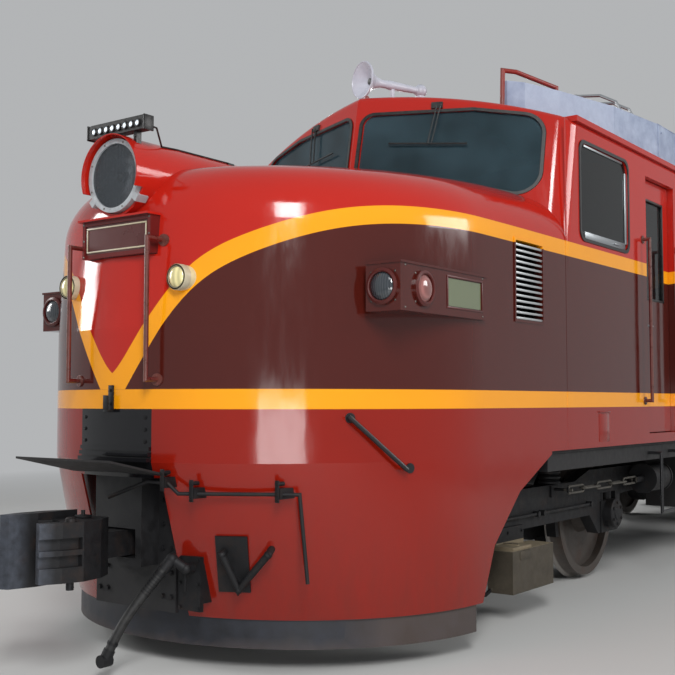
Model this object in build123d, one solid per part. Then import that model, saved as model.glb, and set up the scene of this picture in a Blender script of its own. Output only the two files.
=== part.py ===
from build123d import *
import math
import os

# Electric locomotive with a cab and a rounded nose at each end, on two four-wheel bogies.
# Millimetres, Z up, the front end faces -Y, origin on the floor under the middle.
# Distances "behind the nose" are measured along Y from the foremost point of the nose.

# Body shell
half_length = 7400.0
half_width = 1550.0
wall = 40.0
deck_top = 1210.0
deck_plate = 20.0
sill_depth = 130.0
sill_inset = 50.0
sill_width = 80.0
deck_inset = 30.0
nose_round = 1720.0
nose_length = 3000.0
nose_upright_top = 2000.0
nose_lean = 110.0
shoulder_radius = 400.0
crown_top_z = 3268.0
crown_top_back = 2870.0
crown_length_radius = 11900.0
crown_width_radius = 4680.0
crown_turn_ahead = 24.0
crown_turn_behind = 6.0
skirt_wall = 14.0
skirt_bottom = 300.0
skirt_setback = 270.0
skirt_mouth_half = 350.0
skirt_mouth_top = 1120.0
roof_edge_z = 3700.0
roof_crown_z = 3990.0
roof_fit = 0.3

# Plan of the left roof screen: distance from the middle, distance behind the nose
ROOF_WALL = (
    (735.0, 3660.0),
    (830.0, 3800.0),
    (960.0, 4200.0),
    (1150.0, 4950.0),
    (1250.0, 5800.0),
    (1250.0, 7400.0),
)
roof_wall_top = 4270.0
roof_wall_thickness = 60.0
roof_rail_radius = 20.0

# Tube at the front of the roof screen: distance from the middle, behind the nose, height
ROOF_RAIL = (
    (690.0, 3640.0, 3800.0),
    (700.0, 3650.0, 4360.0),
    (770.0, 3760.0, 4360.0),
    (930.0, 4200.0, 4300.0),
    (930.0, 4200.0, 4265.0),
)
cab_corner_radius = 180.0
cab_length = 2450.0

# Arch where the skirt rises behind the nose: distance behind the nose, height
ARCH = (
    (1690.0, 280.0),
    (1860.0, 640.0),
    (2220.0, 960.0),
    (2720.0, 1190.0),
)

# Windscreens: foot and head of the middle post, foot of the outer edge
post_foot = (0.0, 2390.0, 3250.0)
post_head = (0.0, 2500.0, 3820.0)
outer_foot = (1250.0, 2880.0, 3080.0)
screen_reach = 1400.0
brow_radius = 60.0
glass = 8.0
glass_fit = 0.3
glass_depth = 14.0

# Left windscreen seen from the front: distance from the middle, height, corner radius
SCREEN = (
    (55.0, 3285.0, 40.0),
    (650.0, 3250.0, 0.0),
    (1100.0, 3165.0, 0.0),
    (1362.0, 3092.0, 150.0),
    (1362.0, 3725.0, 170.0),
    (860.0, 3814.0, 0.0),
    (60.0, 3824.0, 85.0),
)
gasket_width = 24.0
gasket_height = 9.0

# Rain gutter above the cab side and engine room, as its section: X, height
GUTTER = ((1500.0, 3690.0), (1574.0, 3690.0), (1574.0, 3732.0), (1470.0, 3732.0))
gutter_front = 3170.0

# Louvre behind the marker box
louvre_front = 2180.0
louvre_rear = 2590.0
louvre_bottom = 2120.0
louvre_top = 2660.0
louvre_slats = 14
louvre_depth = 50.0
louvre_frame = 18.0
louvre_proud = 8.0
slat_lift = 4.0
slat_thickness = 13.0
slat_drop = 14.0

# Driver's desk seen from the side: distance behind the nose section, height above the cab floor
DESK = (
    (0.0, 0.0),
    (300.0, 0.0),
    (300.0, 650.0),
    (480.0, 770.0),
    (480.0, 870.0),
    (180.0, 1010.0),
    (0.0, 1010.0),
)
desk_end_gap = 210.0
seat_back = 1050.0

# Louvred openings of the engine room: their middles along the body
ROOM_OPENINGS = (-1240.0, 0.0, 1240.0)
opening_half = 520.0
opening_bottom = 2600.0
opening_top = 3450.0
opening_depth = 30.0
room_slats = 9
first_slat = 50.0
room_slat_pitch = 92.0
room_slat_thickness = 34.0
room_slat_inset = 4.0

# Ridges of the collar at the foot of the nose: height, how far each stands out
COLLAR = ((1214.0, 34.0), (1246.0, 24.0), (1278.0, 15.0))
collar_half = 300.0
collar_ridge = 22.0

# Cab side window and door
window_front = 3270.0
window_rear = 4220.0
window_bottom = 2810.0
window_top = 3550.0
window_corner = 90.0
door_front = 4640.0
door_rear = 5340.0
door_bottom = 1290.0
door_top = 3520.0
door_gap = 6.0
door_recess = 58.0
door_thickness = 40.0
portal_rim = 60.0
portal_depth = 110.0
knuckle_radius = 13.0
knuckle_height = 40.0
knuckle_play = 0.3
knuckle_standoff = 16.0
KNUCKLE_Z = (1560.0, 3240.0)

# Headlight, lamps and boxes on the nose
headlight_z = 2920.0
hood_radius = 245.0
hood_front = 20.0
hood_rear = 1150.0
lens_radius = 195.0
ring_radius = 224.0
# Turn of each hinge ear of the ring, clockwise from the left as seen from behind
headlight_ears = (38.0, 142.0)

# Marker box plan: distance from the middle, distance behind the nose
MARKER_BOX = (
    (1340.0, 1000.0),
    (1340.0, 720.0),
    (1580.0, 720.0),
    (1580.0, 1720.0),
    (1420.0, 1720.0),
)
marker_bottom = 2080.0
marker_top = 2362.0
marker_lens = 82.0
marker_bezel = 108.0
marker_proud = 16.0
# Places along the two outer faces of the marker box, as shares of each face
front_lens_share = 0.5
side_lens_share = 0.242
number_window_shares = (0.52, 0.935)
number_window_z = (2137.0, 2314.0)
number_window_depth = 8.0
number_board_half = 300.0
number_board_z = (2435.0, 2660.0)
number_board_rim = 24.0
number_board_front = 12.0
number_board_hood = 30.0
round_lamp_x = 480.0
round_lamp_z = 2280.0
round_lamp_radius = 74.0
# Where the nose lies behind the lamp's middle
round_lamp_back = 105.0
round_lamp_proud = 62.0
light_bar_half = 250.0
light_bar_z = 3175.0
light_bar_height = 80.0

# Rails and grab bars: points as distance from the middle, distance behind the nose, height
rail_radius = 14.0
NOSE_RAIL = ((340.0, 60.0, 2510.0), (340.0, -50.0, 2510.0), (340.0, -50.0, 1690.0), (340.0, 60.0, 1690.0))
CORNER_GRAB = (
    (1225.0, 730.0, 1468.0),
    (1275.0, 660.0, 1468.0),
    (1455.0, 965.0, 1170.0),
    (1400.0, 1030.0, 1170.0),
)
door_rail_standoff = 62.0
door_rail_bottom = 1570.0
door_rail_top = 2950.0
step_rail_bottom = 620.0

# Lever that opens the coupler, and the plate above the coupler
lever_radius = 11.0
LEVER = (
    (40.0, -50.0, 1004.0),
    (300.0, 15.0, 1105.0),
    (440.0, 40.0, 1095.0),
    (500.0, 60.0, 1040.0),
    (1095.0, 420.0, 1040.0),
    (1138.0, 440.0, 546.0),
)
LEVER_BRACKETS = ((420.0, 36.0, 1098.0), (580.0, 108.0, 1040.0), (1000.0, 362.0, 1040.0))
# Wiper: pivot and middle of the blade as distance from the middle and height, half of the blade, foot
WIPER_TOP = (600.0, 0.0, 3875.0)
WIPER_LOW = (560.0, 0.0, 3560.0)
WIPER_BLADE = (285.0, 0.0, -18.0)
WIPER_FOOT = (90.0, 50.0)
wiper_stand_off = 18.0
wiper_rod_spacing = 34.0
wiper_rod_radius = 6.0
wiper_blade_radius = 7.0
platform_half = 410.0
platform_front = -370.0
platform_rise = 95.0
platform_z = 1135.0
platform_thickness = 12.0

# Brake hoses: distance from the middle, distance behind the nose, height
hose_radius = 28.0
BRAKE_HOSE = (
    (372.0, 75.0, 600.0),
    (333.0, 28.0, 525.0),
    (290.0, -27.0, 438.0),
    (248.0, -82.0, 345.0),
    (214.0, -128.0, 252.0),
    (190.0, -160.0, 165.0),
)
# Black plate behind the hose's cock: distances from the middle, behind the nose, heights
COCK_PLATE = ((358.0, 535.0), (208.0, 236.0), (355.0, 667.0))

# Air connection on the skirt: width and height of its plate, and its bent pipe
# as distance along the plate, distance up it, distance off it
air_plate = (190.0, 340.0, 12.0)
air_plate_x = (598.0, 762.0)
air_plate_z = 632.0
air_pipe_radius = 21.0
AIR_PIPE = (
    (-45.0, 80.0, 0.0),
    (-45.0, 80.0, 62.0),
    (40.0, -130.0, 62.0),
    (225.0, 85.0, 62.0),
    (225.0, 85.0, -60.0),
)

# Horn on the cab roof
horn_bell = (0.0, 2600.0, 4145.0)
horn_tail = (204.0, 3130.0, 4145.0)
horn_bell_radius = 147.0
horn_throat_radius = 26.0

# Underframe
bolster_half = 420.0
bolster_width = 1200.0
bolster_bottom = 1100.0
bolster_gap = 0.3
kingpin_radius = 120.0
kingpin_play = 0.3
centre_sill_half = 240.0
centre_sill_depth = 140.0

# Half the distance between each pair of cross members
CROSS_MEMBERS = (600.0, 1300.0, 2050.0, 3250.0, 4950.0, 6150.0)
cross_half = 40.0
cross_depth = 90.0

# Couplers
coupler_z = 730.0
coupler_pin_back = 800.0
coupler_pin_radius = 40.0
coupler_play = 0.3
shank_width = 130.0
shank_height = 150.0
pocket_half = 150.0
pocket_wall = 50.0
pocket_front = 60.0
pocket_rear = 160.0
pocket_floor = 45.0
head_half_height = 165.0
guard_half_height = 205.0
guard_inner = -105.0

# Plan of the coupler head: distance from the middle, distance ahead of the nose
COUPLER_HEAD = (
    (-75.0, 80.0), (75.0, 80.0), (140.0, 190.0), (160.0, 330.0), (125.0, 450.0), (65.0, 560.0),
    (10.0, 540.0), (35.0, 470.0), (55.0, 420.0), (20.0, 380.0), (-60.0, 375.0), (-105.0, 440.0),
    (-150.0, 600.0), (-205.0, 620.0), (-215.0, 480.0), (-190.0, 330.0), (-120.0, 200.0),
)
# Plan of the pockets between the ribs of the knuckle
RIB_POCKET = ((300.0, 330.0), (125.0, 340.0), (95.0, 445.0), (38.0, 548.0), (60.0, 640.0), (300.0, 600.0))
RIB_POCKET_Z = ((15.0, 80.0), (-80.0, -15.0))

# Headstock behind the mouth of the skirt
headstock_half = 345.0
headstock_back = 200.0
headstock_bottom = 330.0
headstock_plate = 25.0

# Bogies
bogie_centre = 4100.0
wheel_base = 2800.0
wheel_radius = 560.0
flange_height = 28.0
wheel_inner = 800.0
wheel_width = 135.0
axle_radius = 90.0
journal_radius = 75.0
journal_play = 0.3
journal_end_gap = 30.0
hub_radius = 150.0
hub_width = 180.0
frame_inner = 1040.0
frame_thickness = 100.0
frame_half = 2300.0
frame_top = 980.0
axlebox_half = 170.0
axlebox_outer = 1215.0
pedestal_bottom = 430.0
transom_half = 200.0
motor_radius = 330.0
motor_half = 430.0
motor_offset = 600.0
shoe_gap = 7.0
shoe_thickness = 55.0

# Brake cylinder on the side member and the chain that pulls at its rod
cylinder_x = 1275.0
cylinder_z = 865.0
cylinder_front = 1900.0
cylinder_rear = 2300.0
cylinder_radius = 125.0
chain_wire = 9.0
chain_width = 72.0
chain_pin = 12.0
chain_play = 0.3
chain_links = 5
chain_front = 300.0
chain_rear = 1700.0

# Springs between side member and bolster
spring_radius = 90.0
spring_wire = 14.0
spring_turns = 5

# Pantographs
panto_centre = 1650.0
panto_base_z = 4370.0
arm_length = 1000.0
arm_pivot_half = 300.0
arm_rest_deg = 5.0
arm_tube = 22.0
arm_lower_half = 430.0
arm_upper_half = 390.0
arm_top_half = 240.0
pin_radius = 9.0
pin_play = 0.3
open_pivot_play = 2.0
eye_radius = 30.0
eye_thickness = 18.0
bow_half = 980.0

# Ribbed insulator: radius of the core, radius of the sheds, their number
insulator_core = 42.0
insulator_shed = 72.0
insulator_sheds = 4
insulator_height = 170.0

axle_z = wheel_radius + flange_height
cab_rear = nose_length + cab_length

# Each end of the locomotive with its turn about Z
ENDS = (("front", 0.0), ("rear", 180.0))


def back(distance):
    """Y of a point a distance behind the front of the nose."""
    return -half_length + distance


def block(x, y, z):
    """Box between pairs of limits."""
    size = (x[1] - x[0], y[1] - y[0], z[1] - z[0])
    middle = ((x[0] + x[1]) / 2, (y[0] + y[1]) / 2, (z[0] + z[1]) / 2)
    return Pos(*middle) * Box(*size)


def rod_x(x, y, z, radius):
    """Round bar along X between two limits."""
    middle = (x[0] + x[1]) / 2
    return Pos(middle, y, z) * Rot(0, 90, 0) * Cylinder(radius, x[1] - x[0])


def rod_y(x, y, z, radius):
    """Round bar along Y between two limits."""
    middle = (y[0] + y[1]) / 2
    return Pos(x, middle, z) * Rot(90, 0, 0) * Cylinder(radius, y[1] - y[0])


def rod_z(x, y, z, radius):
    """Round bar along Z between two limits."""
    middle = (z[0] + z[1]) / 2
    return Pos(x, y, middle) * Cylinder(radius, z[1] - z[0])


def pipe(points, radius):
    """Round bar through a few points, mitred at the corners."""
    path = Polyline(*points)
    start = Vector(*points[0])
    along = Vector(*points[1]) - start
    section = Plane(origin=start, z_dir=along) * Circle(radius)
    return sweep(section, path=path, transition=Transition.RIGHT)


def side_profile(points, x):
    """Shape with a side view given as (Y, Z) points, between two limits of X."""
    face = Plane.YZ * make_face(Polyline(*points, close=True))
    return Pos(x[0], 0, 0) * extrude(face, amount=x[1] - x[0])


def front_profile(points, y, corner=0.0):
    """Shape with a front view given as (X, Z) points, between two limits of Y."""
    face = make_face(Polyline(*points, close=True))
    if corner:
        face = fillet(face.vertices(), corner)
    upright = Plane(origin=(0, y[1], 0), x_dir=(1, 0, 0), z_dir=(0, -1, 0)) * face
    return extrude(upright, amount=y[1] - y[0])


def plan_profile(points, z):
    """Shape with a plan given as (X, Y) points, between two heights."""
    face = Pos(0, 0, z[0]) * make_face(Polyline(*points, close=True))
    return extrude(face, amount=z[1] - z[0])


def largest(shape):
    """The largest solid of a shape that a cut has left in pieces."""
    return shape.solids().sort_by(SortBy.VOLUME)[-1]


def both_sides(shape):
    """The shape and its mirror image across the middle of the locomotive."""
    return [shape, mirror(shape, about=Plane.YZ)]


def nose_plan(inset, setback, rear):
    """Plan of the nose: half an ellipse in front and straight sides."""
    a = half_width - inset
    b = nose_round - inset - setback
    y = back(nose_round)
    front = EllipticalCenterArc((0, y), a, b, start_angle=180, arc_size=180)
    sides = Polyline((a, y), (a, rear), (-a, rear), (-a, y))
    return make_face(front + sides)


def crown_solid():
    """What lies under the crown, which curves along and across the hood."""
    y = back(crown_top_back)
    reach = half_width * 1.2
    drop = crown_width_radius - math.sqrt(crown_width_radius**2 - reach**2)
    arc = ThreePointArc((-reach, crown_top_z - drop), (0, crown_top_z), (reach, crown_top_z - drop))
    legs = Polyline((reach, crown_top_z - drop), (reach, 0), (-reach, 0), (-reach, crown_top_z - drop))
    upright = Plane(origin=(0, y, 0), x_dir=(1, 0, 0), z_dir=(0, -1, 0))
    face = upright * make_face(arc + legs)
    axle = Axis((0, y, crown_top_z - crown_length_radius), (1, 0, 0))
    behind = revolve(face, axis=axle, revolution_arc=-crown_turn_behind)
    ahead = revolve(face, axis=axle, revolution_arc=crown_turn_ahead)
    return behind + ahead


def nose_block():
    """Outer form of the nose above the deck, with its rounded shoulders."""
    rear = back(nose_length)
    lower = extrude(Pos(0, 0, deck_top) * nose_plan(0, 0, rear), amount=nose_upright_top - deck_top)
    upper = loft([
        Pos(0, 0, nose_upright_top) * nose_plan(0, 0, rear),
        Pos(0, 0, crown_top_z) * nose_plan(0, nose_lean, rear),
    ])
    blank = (lower + upper) & crown_solid()
    edges = [e for e in blank.edges() if e.center().Z > 2650 and e.center().Y < rear - 1]
    return fillet(edges, shoulder_radius)


def arch_cutter():
    """What the wheel arch takes out of both skirts, behind the nose."""
    points = [(back(d), z) for d, z in ARCH]
    points += [(back(ARCH[-1][0]), deck_top), (back(nose_length + 50), deck_top)]
    points += [(back(nose_length + 50), 0), (back(ARCH[0][0] - 40), 0)]
    return side_profile(points, (-half_width * 2, half_width * 2))


def skirt_shell():
    """Skirt below the nose, open below, with its arch and coupler mouth cut."""
    rear = back(nose_length)
    outer = loft([
        Pos(0, 0, skirt_bottom) * nose_plan(0, skirt_setback, rear),
        Pos(0, 0, deck_top) * nose_plan(0, 0, rear),
    ])
    inner = loft([
        Pos(0, 0, skirt_bottom) * nose_plan(skirt_wall, skirt_setback, rear + 50),
        Pos(0, 0, deck_top) * nose_plan(skirt_wall, 0, rear + 50),
    ])
    skirt = outer - inner - arch_cutter()
    return skirt - block((-skirt_mouth_half, skirt_mouth_half), (back(-50), back(900)), (0, skirt_mouth_top))


def nose():
    """Nose with its skirt, headlight hood and side louvres."""
    hood = rod_y(0, (back(hood_front), back(hood_rear)), headlight_z, hood_radius)
    body = nose_block() + hood
    body -= rod_y(0, (back(hood_front - 1), back(hood_front + 55)), headlight_z, hood_radius - 16)
    span = (back(louvre_front), back(louvre_rear))
    floor_x = half_width - louvre_depth
    frame_span = (span[0] - louvre_frame, span[1] + louvre_frame)
    frame_z = (louvre_bottom - louvre_frame, louvre_top + louvre_frame)
    for frame in both_sides(block((floor_x, half_width + louvre_proud), frame_span, frame_z)):
        body += frame
    for cut in both_sides(block((floor_x, half_width * 2), span, (louvre_bottom, louvre_top))):
        body -= cut
    slats = []
    pitch = (louvre_top - louvre_bottom) / louvre_slats
    for row in range(louvre_slats):
        z = louvre_bottom + slat_lift + slat_drop + row * pitch
        points = (
            (floor_x, z + slat_drop), (half_width, z - slat_drop),
            (half_width, z - slat_drop + slat_thickness), (floor_x, z + slat_drop + slat_thickness),
        )
        slats += both_sides(front_profile(points, span))
    return body + collar() + skirt_shell() + slats


def collar():
    """Ridged collar round the foot of the nose's centre panel."""
    ridges = []
    for z, proud in COLLAR:
        ridge = extrude(Pos(0, 0, z) * nose_plan(-proud, 0, back(nose_length)), amount=collar_ridge)
        ridges.append(ridge & block((-collar_half, collar_half), (back(-100), back(300)), (z, z + collar_ridge)))
    return ridges


def pane_planes(depth):
    """Planes of the two windscreens, moved inwards by a depth."""
    planes = []
    for sign in (1, -1):
        foot = Vector(0, back(post_foot[1]), post_foot[2])
        head = Vector(0, back(post_head[1]), post_head[2])
        side = Vector(sign * outer_foot[0], back(outer_foot[1]), outer_foot[2])
        normal = (head - foot).cross(side - foot).normalized()
        if normal.Y > 0:
            normal = normal * -1
        planes.append(Plane(origin=foot - normal * depth, z_dir=normal))
    return planes


def ahead_of_screens(depth):
    """Everything in front of the windscreen planes at a depth."""
    reach = 6000
    cut = [plane * Pos(0, 0, reach / 2) * Box(reach, reach, reach) for plane in pane_planes(depth)]
    return cut[0] + cut[1]


def body_section(inset, bottom):
    """Cross-section of cab and engine room: upright sides and an arched roof."""
    a = half_width - inset
    roof = ThreePointArc(
        (a, roof_edge_z - inset),
        (0, roof_crown_z - inset),
        (-a, roof_edge_z - inset),
    )
    sides = Polyline((-a, roof_edge_z - inset), (-a, bottom), (a, bottom), (a, roof_edge_z - inset))
    return make_face(roof + sides)


def body_length(inset, bottom, y):
    """Body section between two limits of Y."""
    upright = Plane(origin=(0, y[1], 0), x_dir=(1, 0, 0), z_dir=(0, -1, 0))
    return extrude(upright * body_section(inset, bottom), amount=y[1] - y[0])


def screen_prism(grow=0.0):
    """Front view of the left windscreen carried through the wall."""
    face = make_face(Polyline(*[(x, z) for x, z, radius in SCREEN], close=True))
    for x, z, radius in SCREEN:
        if radius:
            corner = face.vertices().sort_by_distance((x, z))[0]
            face = fillet(corner, radius)
    if grow:
        face = offset(face, amount=grow)
    upright = Plane(origin=(0, back(3400), 0), x_dir=(1, 0, 0), z_dir=(0, -1, 0)) * face
    return extrude(upright, amount=screen_reach)


def side_window_prism(grow, x):
    """Cab side window between two limits of X."""
    rim = ((back(window_front) - grow, window_bottom - grow),
           (back(window_rear) + grow, window_bottom - grow),
           (back(window_rear) + grow, window_top + grow),
           (back(window_front) - grow, window_top + grow))
    face = fillet(make_face(Polyline(*rim, close=True)).vertices(), window_corner)
    return Pos(x[0], 0, 0) * extrude(Plane.YZ * face, amount=x[1] - x[0])


def doorway(grow, x):
    """Doorway between two limits of X."""
    return block(x, (back(door_front) - grow, back(door_rear) + grow), (door_bottom - grow, door_top + grow))


def cab_outer():
    """Outer form of the cab with rounded corner posts and brow."""
    form = body_length(0, deck_top, (back(2100), back(cab_rear)))
    form -= ahead_of_screens(0)
    posts = [e for e in form.edges() if abs(abs(e.center().X) - half_width) < 1 and e.bounding_box().size.Z > 1500
             and e.center().Y < back(cab_rear) - 10]
    form = fillet(posts, cab_corner_radius)
    brow = [e for e in form.edges() if e.center().Z > roof_edge_z and e.center().Y < back(cab_rear) - 10
            and abs(e.center().X) > 100 and e.bounding_box().size.X > 300]
    return fillet(brow, brow_radius)


def cab_shell():
    """Cab walls and roof, hollow, with its windows and doorways cut."""
    outer = cab_outer()
    inner = body_length(wall, deck_top + wall, (back(2000), back(cab_rear - wall)))
    inner -= ahead_of_screens(wall)
    shell = outer - inner - nose_block()
    for prism in both_sides(screen_prism()):
        shell -= prism
    portal_x = (half_width - portal_depth, half_width - wall)
    portal = doorway(portal_rim, portal_x) - doorway(0, portal_x)
    window = side_window_prism(0, (half_width - 200, half_width + 100))
    way = doorway(0, (half_width - 200, half_width + 100))
    for side in both_sides(portal):
        shell += side
    for side in both_sides(window) + both_sides(way):
        shell -= side
    for side in both_sides(cab_knuckles()) + both_sides(front_profile(GUTTER, (back(gutter_front), back(cab_rear)))):
        shell += side
    return shell


def hinge_place():
    """X and Y of the left door's hinge line."""
    return (half_width - portal_depth - knuckle_standoff, back(door_rear - 3))


def cab_knuckles():
    """The fixed knuckles that carry the left door."""
    x, y = hinge_place()
    parts = []
    for z in KNUCKLE_Z:
        for low in (z - knuckle_height * 1.5, z + knuckle_height / 2):
            span = (low, low + knuckle_height)
            lug = block((x, half_width - portal_depth), (y, y + 2 * knuckle_radius), span)
            parts.append(rod_z(x, y, span, knuckle_radius) + lug)
    return parts[0] + parts[1:]


def door():
    """Left cab door with its window opening and its half of the hinges."""
    x = half_width - door_recess - door_thickness
    leaf = block(
        (x, x + door_thickness),
        (back(door_front) + door_gap, back(door_rear) - door_gap),
        (door_bottom + door_gap, door_top - door_gap),
    )
    leaf -= block((x - 10, x + 60), (back(door_front + 130), back(door_rear - 130)), (2450, 3350))
    hx, hy = hinge_place()
    for z in KNUCKLE_Z:
        span = (z - knuckle_height / 2 + knuckle_play, z + knuckle_height / 2 - knuckle_play)
        leaf += rod_z(hx, hy, span, knuckle_radius)
        leaf += block((hx, x), (hy - 2 * knuckle_radius, hy - door_gap + 3), span)
    return leaf


def cab_glass():
    """Windscreens and side windows of one cab."""
    slab = ahead_of_screens(glass_depth + glass) - ahead_of_screens(glass_depth)
    panes = []
    for prism in both_sides(screen_prism(-glass_fit)):
        panes.append(prism & slab)
    outer = half_width - glass_depth
    panes += both_sides(side_window_prism(-glass_fit, (outer - glass, outer)))
    return panes


def window_gaskets():
    """Rubber profiles round the windscreens and side windows of one cab."""
    slab = ahead_of_screens(0) - ahead_of_screens(-gasket_height)
    behind_nose = nose_block()
    rings = []
    for outer, inner in zip(both_sides(screen_prism(gasket_width)), both_sides(screen_prism())):
        rings.append(largest(((outer - inner) & slab) - behind_nose))
    span = (half_width, half_width + gasket_height)
    rings += both_sides(side_window_prism(gasket_width, span) - side_window_prism(0, span))
    return rings


def desk():
    """Driver's desk across the front of the cab."""
    points = [(back(nose_length + depth), deck_top + wall + rise) for depth, rise in DESK]
    reach = half_width - wall - desk_end_gap
    return side_profile(points, (-reach, reach))


def seat():
    """Driver's seat on its column."""
    floor = deck_top + wall
    parts = rod_z(0, 0, (floor, floor + 430), 60)
    parts += block((-220, 220), (-220, 220), (floor + 430, floor + 540))
    parts += block((-220, 220), (160, 240), (floor + 540, floor + 1080))
    return parts


def engine_room():
    """Body between the two cabs, with louvred openings high on the sides."""
    y = back(cab_rear)
    body = body_length(0, deck_top, (y, -y))
    for side in both_sides(front_profile(GUTTER, (y, -y))):
        body += side
    for middle in ROOM_OPENINGS:
        span = (middle - opening_half, middle + opening_half)
        recess = block((half_width - opening_depth, half_width + 50), span, (opening_bottom, opening_top))
        for side in both_sides(recess):
            body -= side
        for row in range(room_slats):
            z = opening_bottom + first_slat + row * room_slat_pitch
            depth = (half_width - opening_depth, half_width - room_slat_inset)
            slat = block(depth, span, (z, z + room_slat_thickness))
            for side in both_sides(slat):
                body += side
    return body


def roof_walls():
    """Low screens along both edges of the roof, drawn in towards the cabs."""
    outer = [(x, back(d)) for x, d in ROOF_WALL]
    inner = [(x - roof_wall_thickness, y) for x, y in outer]
    front = plan_profile(outer + inner[::-1], (roof_edge_z, roof_wall_top))
    under = body_length(-roof_fit, deck_top, (back(nose_length), -back(nose_length)))
    wall = front - under
    return both_sides(wall) + both_sides(Rot(0, 0, 180) * wall)


def roof_rails():
    """Bent tube at the front end of each roof screen of one end."""
    points = [(x, back(d), z) for x, d, z in ROOF_RAIL]
    tube = pipe(points, roof_rail_radius)
    under = body_length(-roof_fit, deck_top, (back(nose_length), -back(nose_length)))
    walls = roof_walls()
    return both_sides(largest(tube - under - walls[0]))


def underframe():
    """Deck plate on side sills and cross members, with bolsters and coupler pockets."""
    y = back(nose_round)
    a = half_width - deck_inset
    b = nose_round - deck_inset
    front = EllipticalCenterArc((0, y), a, b, start_angle=180, arc_size=180)
    rear = EllipticalCenterArc((0, -y), a, b, start_angle=0, arc_size=180)
    plan = make_face(front + rear + Line((a, y), (a, -y)) + Line((-a, -y), (-a, y)))
    plate_low = deck_top - deck_plate
    sill_low = plate_low - sill_depth
    frame = extrude(Pos(0, 0, plate_low) * plan, amount=deck_plate)
    sill_x = (half_width - sill_inset - sill_width, half_width - sill_inset)
    for side in both_sides(block(sill_x, (back(2750), -back(2750)), (sill_low, plate_low))):
        frame += side
    frame += block((-centre_sill_half, centre_sill_half), (back(960), -back(960)), (sill_low, plate_low))
    for place in CROSS_MEMBERS:
        for sign in (-1, 1):
            span = (sign * place - cross_half, sign * place + cross_half)
            frame += block((-sill_x[0] - 10, sill_x[0] + 10), span, (plate_low - cross_depth, plate_low))
    for name, angle in ENDS:
        frame += Rot(0, 0, angle) * end_structure(sill_low, plate_low)
    return frame


def end_structure(sill_low, plate_low):
    """Bolster with its kingpin, and the pocket that holds the coupler."""
    y = -bogie_centre
    parts = block((-bolster_width, bolster_width), (y - bolster_half, y + bolster_half), (bolster_bottom, plate_low))
    parts += block((-300, 300), (y - 260, y + 260), (frame_top + 20 + bolster_gap, plate_low))
    parts += rod_z(0, y, (700, plate_low), kingpin_radius)
    mouth = (back(pocket_front), back(coupler_pin_back + pocket_rear))
    outer = pocket_half + pocket_wall
    top_low = coupler_z + shank_height / 2 + 10
    bottom_high = coupler_z - shank_height / 2 - 10
    bottom_low = bottom_high - pocket_floor
    for cheek in both_sides(block((pocket_half, outer), mouth, (bottom_low, plate_low))):
        parts += cheek
    parts += block((-outer, outer), mouth, (top_low, plate_low))
    parts += block((-outer, outer), mouth, (bottom_low, bottom_high))
    plate_y = (back(headstock_back), back(headstock_back + headstock_plate))
    plate = block((-headstock_half, headstock_half), plate_y, (headstock_bottom, plate_low))
    parts += plate - block((-outer, outer), plate_y, (bottom_low, plate_low))
    parts += rod_z(0, back(coupler_pin_back), (bottom_low, plate_low), coupler_pin_radius)
    return parts


def coupler():
    """Knuckle coupler: shank on its pin, head with guard arm and knuckle."""
    y = back(coupler_pin_back)
    half = shank_height / 2
    z = (coupler_z - half, coupler_z + half)
    shank = block((-shank_width / 2, shank_width / 2), (back(-130), y), z)
    shank += rod_z(0, y, z, shank_width / 2)
    shank -= rod_z(0, y, (z[0] - 5, z[1] + 5), coupler_pin_radius + coupler_play)
    head = [(x, back(-ahead)) for x, ahead in COUPLER_HEAD]
    tall = (coupler_z - guard_half_height, coupler_z + guard_half_height)
    body = shank + plan_profile(head, (coupler_z - head_half_height, coupler_z + head_half_height))
    body += plan_profile(head, tall) & block((-half_width, guard_inner), (back(-700), back(0)), tall)
    pocket = [(x, back(-ahead)) for x, ahead in RIB_POCKET]
    for low, high in RIB_POCKET_Z:
        body -= plan_profile(pocket, (coupler_z + low, coupler_z + high))
    return largest(body)


def pilot():
    """Dark plough sheet below the skirt."""
    rear = back(nose_round)
    outer = nose_plan(skirt_wall, skirt_setback, rear + 20)
    inner = nose_plan(skirt_wall + 12, skirt_setback, rear + 40)
    sheet = extrude(Pos(0, 0, 130) * (outer - inner), amount=330)
    sheet -= block((-half_width, half_width), (back(1640), back(1900)), (0, 600))
    sheet -= block((-130, 130), (back(0), back(900)), (330, 600))
    return sheet


def side_frame():
    """One side member of a bogie, with a pedestal round each axle box."""
    axle = wheel_base / 2
    half = []
    half += [(0, 600), (1000, 600), (axle - axlebox_half - 50, pedestal_bottom)]
    half += [(axle - axlebox_half, pedestal_bottom), (axle - axlebox_half, 770)]
    half += [(axle + axlebox_half, 770), (axle + axlebox_half, pedestal_bottom)]
    half += [(axle + axlebox_half + 50, pedestal_bottom), (axle + axlebox_half + 110, 740)]
    half += [(frame_half, 760), (frame_half, 900), (1900, frame_top), (1000, frame_top)]
    half += [(700, 900), (0, 900)]
    right = [(-y, z) for y, z in half]
    points = half[:-1] + [(0, 900)] + right[-2:0:-1]
    return side_profile(points, (frame_inner, frame_inner + frame_thickness))


def bogie_frame():
    """Two side members joined by a transom with the pivot centre."""
    low, high = 620, 880
    frame = block((-frame_inner, frame_inner), (-transom_half, transom_half), (low, high))
    frame += rod_z(0, 0, (high, frame_top + 20), 300)
    frame -= rod_z(0, 0, (low - 5, frame_top + 25), kingpin_radius + kingpin_play)
    for side in both_sides(side_frame()):
        frame += side
    return frame


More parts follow.
